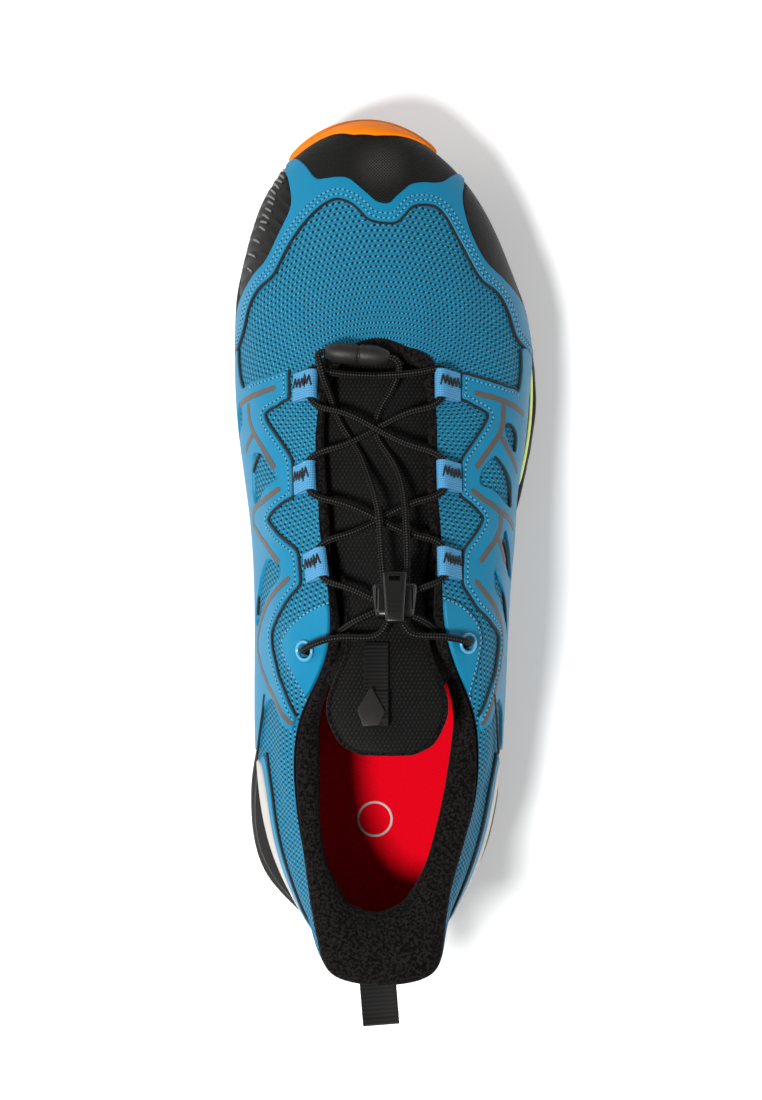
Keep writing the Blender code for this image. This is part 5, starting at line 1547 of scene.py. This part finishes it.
for side, (low_turn, high_turn) in PATCHES.items():
    patch, across, share = flat_grid(f"lime_patch_{side}", 40, 8)
    turn = np.radians(low_turn + (high_turn - low_turn) * across)
    ends = np.clip(np.minimum(across, 1 - across) / 0.06, 0, 1)
    ends = ends * np.clip(np.minimum(share, 1 - share) / 0.12, 0, 1)
    swell = PATCH_SWELL[side] * np.sqrt(ends) * (1 - 0.5 * share)
    set_coords(patch, place(sole_side(turn, LIME_FROM + LIME_HEIGHT * share, GAP + swell)))
    shape_with(patch, "SOLIDIFY", thickness=LIME_THICK * MM, offset=-1)
    dress(patch, lime_foam, "lime_foam", f"midsole_patch_{side}")

# %% Outsole
bpy.ops.object.select_all(action="DESELECT")
outsole = bpy.data.objects["outsole"].copy()
outsole.data = outsole.data.copy()
outsole.name = outsole.data.name = "outsole_rubber"
bpy.context.scene.collection.objects.link(outsole)
outsole.hide_render = False
outsole.hide_set(False)
merge(outsole, 1e-5)
edit(outsole, (bpy.ops.mesh.dissolve_limited, {"angle_limit": math.radians(3)}))
shape_with(outsole, "BEVEL", width=0.4 * MM, segments=2, limit_method="ANGLE", angle_limit=math.radians(40))
dress(outsole, black_rubber, "black_rubber", "outsole")

# %% Insole
INSOLE_INSET = FEATHER_INSET + WALL + 1.2
INSOLE_THICK, INSOLE_BOARD = 3.7, 2.4


def insole_height(y, across):
    """Height of the insole: hollow under the heel and turned up at its sides, where across is 1."""
    hollow = 1.2 * (1 - across**2) * np.exp(-(((y - 40) / 32) ** 2))
    return sole_top(y) + GAP + INSOLE_THICK + across**3 - hollow


def insole_point(turn, share):
    """A point of the insole's top: share runs from the inner side to the outer one."""
    lateral, medial = inset(bulge, turn, INSOLE_INSET), inset(bulge, TURN - turn, INSOLE_INSET)
    point = medial + (lateral - medial) * share[..., None]
    point[..., 2] = insole_height(point[..., 1], np.abs(2 * share - 1))
    return point


insole, across, share = flat_grid("insole_board", 90, 28)
turn = 0.02 + (math.pi - 0.04) * across
set_coords(insole, place(insole_point(turn, share)))
shape_with(insole, "SOLIDIFY", thickness=INSOLE_BOARD * MM, offset=1)
outward(insole)
dress(insole, red_cloth, "red_cloth", "insole")

# %% A plain ring printed on the insole
PRINT_RING, PRINT_RING_AT, PRINT_RING_LINE = 5.8, (-2.1, 47.8), 0.42

bpy.ops.mesh.primitive_torus_add(
    major_segments=72, minor_segments=10, major_radius=PRINT_RING * MM, minor_radius=PRINT_RING_LINE * MM
)
print_ring = name_it("insole_print_ring")
spots = coords(print_ring) / MM
spots[:, 2] *= 0.3
spots[:, :2] += PRINT_RING_AT
spots[:, 2] += insole_height(spots[:, 1], np.abs(spots[:, 0]) / 28.0) + 0.1
set_coords(print_ring, place(spots))
dress(print_ring, white_film, "white_film")

# %% [markdown]
# The toe bumper is a rubber lip, thickest in the middle, that reaches from the sole up over the toe cap.
# It is lofted like the padded pieces.

# %% Toe bumper
BUMPER_FROM, BUMPER_TO = 160.0, 203.0
BUMPER_TOP = [
    (160, 0.22), (163, 0.235), (166.5, 0.27), (169, 0.305), (173, 0.35), (177, 0.375), (185, 0.36),
    (188, 0.315),
    (191, 0.275), (195, 0.245), (200, 0.235), (204, 0.22),
]


def bumper_section(turn):
    angle = np.full(1, math.radians(turn))
    share = (turn - BUMPER_FROM) / (BUMPER_TO - BUMPER_FROM)
    swell = 0.4 + 2.2 * max(math.sin(math.pi * share), 0) ** 0.5
    levels = (0.06, 0.18, 0.30, 0.45, 0.60, 0.80, 0.97)
    depth = [0.55 - min(0.0, float(np.interp(level, *np.array(SIDE_STEPS, float).T))) for level in levels]
    fill = np.interp(levels, (0.06, 0.3, 0.6, 0.97), (0.8, 1.0, 1.0, 1.0))
    inner = [sole_side(angle, level, 0.4)[0] for level in levels]
    outer = [sole_side(angle, level, d + swell * f)[0] for level, d, f in zip(levels, depth, fill)]
    top = float(np.interp(turn, *zip(*BUMPER_TOP)))
    climb = [0.18 + (top - 0.18) * s for s in (0.35, 0.7, 0.95, 1.0)]
    for rise, part in zip([0.06, 0.12, 0.18] + climb, (1.0, 1.0, 0.9, 0.75, 0.6, 0.45, 0.2)):
        point, normal = skin(angle, rise)[0], skin_axes(angle, rise)[2][0]
        inner.append(point + normal * (GAP + 0.1))
        outer.append(point + normal * (GAP + 0.1 + max(0.5, swell * part)))
    return inner + outer[::-1]


bumper = loft("toe_bumper_rubber", [bumper_section(t) for t in np.linspace(BUMPER_FROM, BUMPER_TO, 41)])
dress(bumper, orange_rubber, "orange_rubber", "toe_bumper", sharp=60)

# %% [markdown]
# ## Lacing
# Six webbing loops stand along the throat. Each is a strip sewn flat on the upper that rolls round the
# lace and comes back on itself. The strip is a grid bent along a path and given its thickness by
# Solidify. A black zigzag of thread holds its two layers together.

# %% Lace loops
LOOP_STATIONS, LOOP_TURNED_AT = (196.3, 165.5, 136.4), (180, 165, 137)
LOOP_SHIFTS = {"medial": (2.6, 0.3, -1.6), "lateral": (1.1, -0.2, -2.0)}
WEBBING, LOOP_LENGTH, LOOP_END = 0.6, 9.8, 8.6
LOOP_BEND, LOOP_CORD_OUT = 1.65, 0.7
LOOP_LOW = GAP + 0.1 + WEBBING / 2
LOOP_CORD_UP = LOOP_LOW + LOOP_BEND
LOOP_HIGH = LOOP_LOW + WEBBING + 0.2


def loop_frame(side, number):
    """Inner edge of a loop, with the normal there, its way forward and its way out of the throat."""
    stations = (LOOP_STATIONS[number], LOOP_TURNED_AT[number])
    turn, turned = (float(turn_on(TOPLINE, y, FORWARD["topline"])) for y in stations)
    if side == "medial":
        turn, turned = TURN - turn, TURN - turned
    along, _, normal = skin_axes(turned, 1.0)
    forward = unit(along) if along[1] > 0 else -unit(along)
    out = np.cross(forward, normal) if side == "lateral" else np.cross(normal, forward)
    return topline(turn) + out * LOOP_SHIFTS[side][number], normal, forward, out


def loop_top(out):
    """Height of the loop's upper layer, which slopes from the roll round the lace to its sewn end."""
    return np.interp(out, (LOOP_CORD_OUT + 0.6, LOOP_END), (LOOP_CORD_UP + LOOP_BEND - 0.1, LOOP_HIGH))


def loop_path():
    """Way of the webbing, as distances out from the throat edge and up from the cloth."""
    bend = np.radians(np.arange(-90, -271, -22.5))
    rolled = [(LOOP_CORD_OUT + LOOP_BEND * math.cos(a), LOOP_CORD_UP + LOOP_BEND * math.sin(a)) for a in bend]
    back = [(out, float(loop_top(out))) for out in (3.6, 5.2, 6.8, LOOP_END)]
    way = [(LOOP_END, LOOP_LOW), (4.0, LOOP_LOW)] + rolled + back
    return smooth_route(way, 0.5)


def make_loop(side, number):
    edge, normal, forward, out = loop_frame(side, number)
    path = loop_path()
    obj, across, along = flat_grid(f"lace_loop_{side}_{number + 1}_webbing", 12, len(path) - 1)
    spot = path[np.rint(along * (len(path) - 1)).astype(int)]
    width = (across - 0.5) * LOOP_LENGTH
    points = edge + spot[:, :1] * out + spot[:, 1:] * normal + width[:, None] * forward
    set_coords(obj, place(points))
    scale_uv(obj, LOOP_LENGTH, 26.0)
    shape_with(obj, "SOLIDIFY", thickness=WEBBING * MM, offset=0)
    outward(obj)
    return dress(obj, light_webbing, "light_webbing", f"lace_loop_{side}_{number + 1}")


def zigzag(side, number):
    """The bar tack: a zigzag of thread over the loop's upper layer."""
    edge, normal, forward, out = loop_frame(side, number)
    path = loop_path()
    upper_layer = path[int(path[:, 0].argmin()):]
    reach = np.linspace(-0.2, 8.3, 50)
    swings = (-1, 1, -0.8, 1.1, -1, 0.9, -1.1, 1, -0.9, 1.1, -0.8)
    way = 1.0 + 1.8 * np.interp(reach, np.linspace(-0.2, 8.3, 11), swings)
    height = np.interp(reach, upper_layer[:, 0], upper_layer[:, 1]) + WEBBING / 2 + 0.15
    tack = edge + reach[:, None] * out + way[:, None] * forward + height[:, None] * normal
    return [swept_arrays(resample(tack, 0.4), round_section(0.3, 6))]


tacks = []
for side in ("medial", "lateral"):
    for number in range(3):
        make_loop(side, number)
        tacks += zigzag(side, number)
dress(swept_piece("loop_bar_tacks", tacks), black_thread, "black_cord")

# %% [markdown]
# Each eyelet is a moulded ring on its stay: a torus turned to the surface normal. A cylinder on the same
# normal then cuts the hole in the cloth under it.

# %% Eyelets
EYELET_RING, EYELET_TUBE = 3.0, 0.55
PUNCH_RADIUS, PUNCH_LENGTH = 1.75, 10
EYELET_LIFT = 0.4 + 0.8 + 0.3 + EYELET_TUBE


def eyelet_frame(side):
    turn, rise = math.radians(EYELET[side][0]), EYELET[side][1]
    return skin(turn, rise), skin_axes(turn, rise)[2]


def stand_on(obj, point, normal):
    """Turns a piece that was modelled upright to a normal and moves it to a table point."""
    turned = Vector(normal).to_track_quat("Z", "Y").to_matrix()
    set_coords(obj, coords(obj) @ np.array(turned).T + place(point))


for side in EYELET:
    point, normal = eyelet_frame(side)
    bpy.ops.mesh.primitive_torus_add(
        major_segments=40, minor_segments=14, major_radius=EYELET_RING * MM, minor_radius=EYELET_TUBE * MM
    )
    eyelet = name_it(f"eyelet_{side}_ring")
    stand_on(eyelet, point + normal * EYELET_LIFT, normal)
    dress(eyelet, light_plastic, "light_plastic", f"eyelet_{side}")
    bpy.ops.mesh.primitive_cylinder_add(vertices=32, radius=PUNCH_RADIUS * MM, depth=PUNCH_LENGTH * MM)
    punch = bpy.context.object
    stand_on(punch, point, normal)
    cut_away(upper, punch)

# %% [markdown]
# One long elastic cord runs as a straight bar through the first pair of loops, crosses three times and
# dives through the eyelets to the toggle. Both halves then leave the toggle as free tails and end in a
# cord end over the vamp. The lace here is two swept cords, one for each half, and two tails.

# %% Lace
LACE_RADIUS = 1.15
OVER, UNDER = (1.6, 1.8), (1.7, 0.6)
LACE_END = {"medial": (-9.6, 117.0, 97.0), "lateral": (13.4, 118.0, 96.2)}
EYELET_RUNS = {
    "medial": [(-19.4, 111.2, 98.2), (-9.0, 112.4, 99.8), (-0.6, 113.6, 100.6), (2.0, 117.4, 100.8)],
    "lateral": [(21.6, 112.4, 98.8), (15.0, 112.8, 100.2), (9.4, 113.8, 100.8), (6.8, 117.4, 100.8)],
}
OTHER = {"medial": "lateral", "lateral": "medial"}


def loop_mouth(side, number, end):
    """Where the lace leaves a loop: end is 1 at its front and -1 at its back."""
    edge, normal, forward, out = loop_frame(side, number)
    reach = end * (LOOP_LENGTH / 2 + 0.4)
    return edge + out * LOOP_CORD_OUT + normal * LOOP_CORD_UP + forward * reach


def bent(start, end, lifts):
    """Points between two mouths, lifted at the sides and in the middle."""
    start, end = np.asarray(start), np.asarray(end)
    lift = (lifts[0], lifts[1], lifts[0])
    return [start + (end - start) * s + (0, 0, h) for s, h in zip((0.2, 0.5, 0.8), lift)]


def lace_half(side):
    """Route of the half that starts at this side's first loop, from the middle of the bar to the toggle."""
    first = loop_mouth(side, 0, 1)
    middle = (loop_mouth("medial", 0, 1) + loop_mouth("lateral", 0, 1)) / 2
    inwards = 2.6 if side == "medial" else -2.6
    route = [middle + (0, -2.4, 1.0), first + (inwards, -0.4, 0.8), first]
    here = side
    for number in range(2):
        start, end = loop_mouth(here, number, -1), loop_mouth(OTHER[here], number + 1, 1)
        route += [start] + bent(start, end, OVER if here == "medial" else UNDER) + [end]
        here = OTHER[here]
    start, end = loop_mouth(here, 2, -1), np.array(LACE_END[OTHER[here]])
    route += [start] + bent(start, end, OVER if here == "medial" else UNDER) + [end]
    here = OTHER[here]
    point, normal = eyelet_frame(here)
    route += [point - normal * 3.2, point + normal * 2.6]
    return route + [np.array(p) for p in EYELET_RUNS[here]]


lace = [swept_arrays(smooth_route(lace_half(side), 0.9), round_section(LACE_RADIUS, 10)) for side in OTHER]
lace_nodes = [
    "lace_bar", "lace_cross_1", "lace_cross_2", "lace_cross_3", "lace_run_medial", "lace_run_lateral",
]
dress(swept_piece("lace_crossings", lace), black_cord, "black_cord", *lace_nodes)

# %% Free tails of the lace
TAILS = {
    "medial": [
        (0.8, 131.6, 99), (0.4, 137, 97.4), (-0.2, 145, 95), (-1, 154.2, 92.4), (-4.3, 165.8, 84.6),
        (-7.7, 174.1, 78.8), (-12, 180.8, 76.2), (-15.4, 187.5, 74.6), (-17.4, 193.6, 76.6),
        (-19.4, 199, 80.0),
        (-20.6, 203.8, 80.2), (-20.8, 206.4, 79), (-18.4, 207.1, 78.6),
    ],
    "lateral": [
        (8.4, 131.6, 99), (8.6, 137.7, 97), (8.3, 147.6, 94.2), (7.3, 160.8, 87), (4.7, 169, 81.8),
        (1.3, 174.4, 78.8), (-1, 178.2, 77.6), (-1.7, 183, 76.4), (-0.3, 188, 75.2), (3.4, 194.4, 74.4),
        (5.6, 199.6, 75.6), (5.8, 203.0, 77.8), (4.4, 204.9, 78.6), (2.6, 205.4, 78.6),
    ],
}
CORD_END_FROM, CORD_END_TO = np.array((-18.6, 207.2, 78.6)), np.array((2.8, 205.4, 78.6))
CORD_END_RADIUS = 3.4
CORD_END_SHAPE = [
    (0, 0.5), (0.06, 0.72), (0.2, 1), (0.49, 1), (0.5, 0.84), (0.53, 0.84), (0.54, 1), (0.8, 1),
    (0.94, 0.72), (1, 0.5),
]

route = CORD_END_FROM + (CORD_END_TO - CORD_END_FROM) * np.array([s for s, _ in CORD_END_SHAPE])[:, None]
barrel = swept_arrays(route, round_section(CORD_END_RADIUS, 28), taper=[r for _, r in CORD_END_SHAPE])
cord_end = swept_piece("cord_end_barrel", [barrel])
shape_with(cord_end, "BEVEL", width=0.3 * MM, segments=2, limit_method="ANGLE", angle_limit=math.radians(20))
dress(cord_end, grey_plastic, "black_plastic", "cord_end", sharp=30)
for side, points in TAILS.items():
    start = np.array(points[0]) + (0, -4.0, 0.9)
    route = smooth_route([start] + points, 0.9)
    tail = swept_piece(f"lace_tail_{side}_cord", [swept_arrays(route, round_section(LACE_RADIUS, 12))])
    dress(tail, black_cord, "black_cord", f"lace_tail_{side}")

# %% [markdown]
# The toggle is a plastic block with a press plate through it. The block is a cube with bevelled edges
# whose lower corners are drawn in and whose wings slope down, and the plate a longer cube with a slot and
# three grip grooves. Both are modelled flat and then tilted to the slope of the tongue.

# %% Toggle
BODY_SIZE, BUTTON_SIZE = (15.4, 11.6, 5.6), (8.0, 17.0, 3.0)
BUTTON_LIFT = 4.6
WING_SLOPE = 0.45
BODY_NARROW, BUTTON_NARROW = 0.82, 0.72
WING_GROOVE, WING_GROOVE_AT = (1.0, 7.0, 1.6), 5.6
GRIP, GRIPS_AT = (4.2, 0.6, 0.8), (-4.6, -3.0, -1.4)
SLOT = (3.6, 1.6)


def box(name, size, middle=(0, 0, 0)):
    """A cube primitive of a size in millimetres, with its place in the mesh."""
    bpy.ops.mesh.primitive_cube_add(size=1)
    obj = name_it(name)
    set_coords(obj, coords(obj) * size + middle)
    return obj


def tilted(obj):
    """Turns a piece modelled in millimetres round the toggle's middle and moves it into the frame."""
    angle = math.radians(TOGGLE_TILT)
    matrix = np.array(
        ((1, 0, 0), (0, math.cos(angle), -math.sin(angle)), (0, math.sin(angle), math.cos(angle)))
    )
    set_coords(obj, place(coords(obj) @ matrix.T + TOGGLE_CENTRE))


def narrowed(obj, share):
    """Draws in the corners at the heel end of a block."""
    points = coords(obj)
    points[:, 0] *= np.where(points[:, 1] < 0, share, 1.0)
    set_coords(obj, points)


body = box("toggle_block", BODY_SIZE)
narrowed(body, BODY_NARROW)
shape_with(body, "BEVEL", width=1.5, segments=4, limit_method="NONE")
for x in (-WING_GROOVE_AT, WING_GROOVE_AT):
    cut_away(body, box("wing_groove", WING_GROOVE, (x, 0.4, BODY_SIZE[2] / 2)))
points = coords(body)
beside = np.clip(np.abs(points[:, 0]) - BUTTON_SIZE[0] / 2, 0, None)
points[:, 2] -= np.where(points[:, 2] > 0, WING_SLOPE * beside, 0)
set_coords(body, points)
tilted(body)
dress(body, black_plastic, "black_plastic", "toggle_body", sharp=35)
button = box("toggle_plate", BUTTON_SIZE, (0, 0, BUTTON_LIFT))
narrowed(button, BUTTON_NARROW)
shape_with(button, "BEVEL", width=0.9, segments=4, limit_method="NONE")
cut_away(button, box("slot", (*SLOT, 6.0), (0, 0.36 * BUTTON_SIZE[1], BUTTON_LIFT)))
for y in GRIPS_AT:
    cut_away(button, box("grip", GRIP, (0, y, BUTTON_LIFT + BUTTON_SIZE[2] / 2)))
tilted(button)
dress(button, black_plastic, "black_plastic", "toggle_button", sharp=35)

# %% [markdown]
# Two webbing strips are left: the tab on the tongue, folded back under a small five-sided patch, and the
# pull loop at the heel. Both are grids bent along a path, like the lace loops.

# %% Tongue tab
TAB_X, TAB_WIDTH, TAB_THICK, TAB_LIFT = -1.6, 8.0, 0.9, 1.25
TAB_FROM, TAB_FOLD, TAB_BACK = 110.5, 84.0, 95.0


def strip(name, path, width, thick, middle_x, lean=0.0):
    """A webbing strip along a path of y and z; lean shifts it sideways as it runs back."""
    path = smooth_route(np.column_stack((np.full(len(path), middle_x), path)), 0.8)
    obj, across, along = flat_grid(name, 14, len(path) - 1)
    points = path[np.rint(along * (len(path) - 1)).astype(int)]
    points[:, 0] += (across - 0.5) * width - lean * points[:, 1]
    points[:, 1] += lean * (across - 0.5) * width
    set_coords(obj, place(points))
    scale_uv(obj, width, 0.8 * len(path))
    shape_with(obj, "SOLIDIFY", thickness=thick * MM, offset=0)
    outward(obj)
    shape_with(obj, "BEVEL", width=0.2 * MM, segments=2, limit_method="ANGLE", angle_limit=math.radians(50))
    return obj


def tab_height(y):
    centre, half, z, drop, _ = tongue_line(-y)
    return z - drop * ((TAB_X - centre) / half) ** 2 + TAB_LIFT


low_layer = [(y, tab_height(y)) for y in np.linspace(TAB_FROM, TAB_FOLD + 2, 9)]
fold = [(TAB_FOLD, tab_height(TAB_FOLD) + 0.5), (TAB_FOLD + 1.2, tab_height(TAB_FOLD) + 1.5)]
top_layer = [(y, tab_height(y) + TAB_THICK + 0.4) for y in np.linspace(TAB_FOLD + 4, TAB_BACK, 4)]
tab = strip("tongue_tab_webbing", low_layer + fold + top_layer, TAB_WIDTH, TAB_THICK, TAB_X)
dress(tab, black_webbing, "black_webbing", "tongue_tab")

# %% Patch on the end of the tab
PATCH_CORNERS = [(-3.2, 96.6), (1.3, 88.5), (-0.6, 84.2), (-5.8, 83.8), (-7.6, 89.1)]
PATCH_THICK = 1.1

bpy.ops.mesh.primitive_circle_add(vertices=len(PATCH_CORNERS), fill_type="NGON")
patch = name_it("tab_end_patch")
flat = np.array(PATCH_CORNERS)
set_coords(patch, place(np.column_stack((flat, [tab_height(y) + 2.4 for y in flat[:, 1]]))))
shape_with(patch, "SOLIDIFY", thickness=PATCH_THICK * MM, offset=0)
outward(patch)
shape_with(patch, "BEVEL", width=0.4 * MM, segments=3, limit_method="NONE")
dress(patch, grey_plastic, "black_plastic")

# %% Heel pull loop
HEEL_LOOP_WIDTH, HEEL_LOOP_THICK, HEEL_LOOP_X = 12.0, 1.2, -1.2
HEEL_LOOP_FREE = [
    (-6.5, 83.6), (-11.5, 83.2), (-14.6, 84.4), (-15.8, 86.6), (-14.6, 88.8), (-11.5, 89.8), (-6.5, 90.0),
]


def heel_seat(rise):
    point = skin(0.0, rise) + skin_axes(0.0, rise)[2] * (0.4 + HEEL_LOOP_THICK / 2)
    return point[1], point[2]


path = [heel_seat(r) for r in (0.60, 0.68, 0.75)] + HEEL_LOOP_FREE + [heel_seat(0.92)]
heel_loop = strip("heel_loop_webbing", path, HEEL_LOOP_WIDTH, HEEL_LOOP_THICK, HEEL_LOOP_X, lean=0.08)
dress(heel_loop, black_webbing, "black_webbing", "heel_loop")
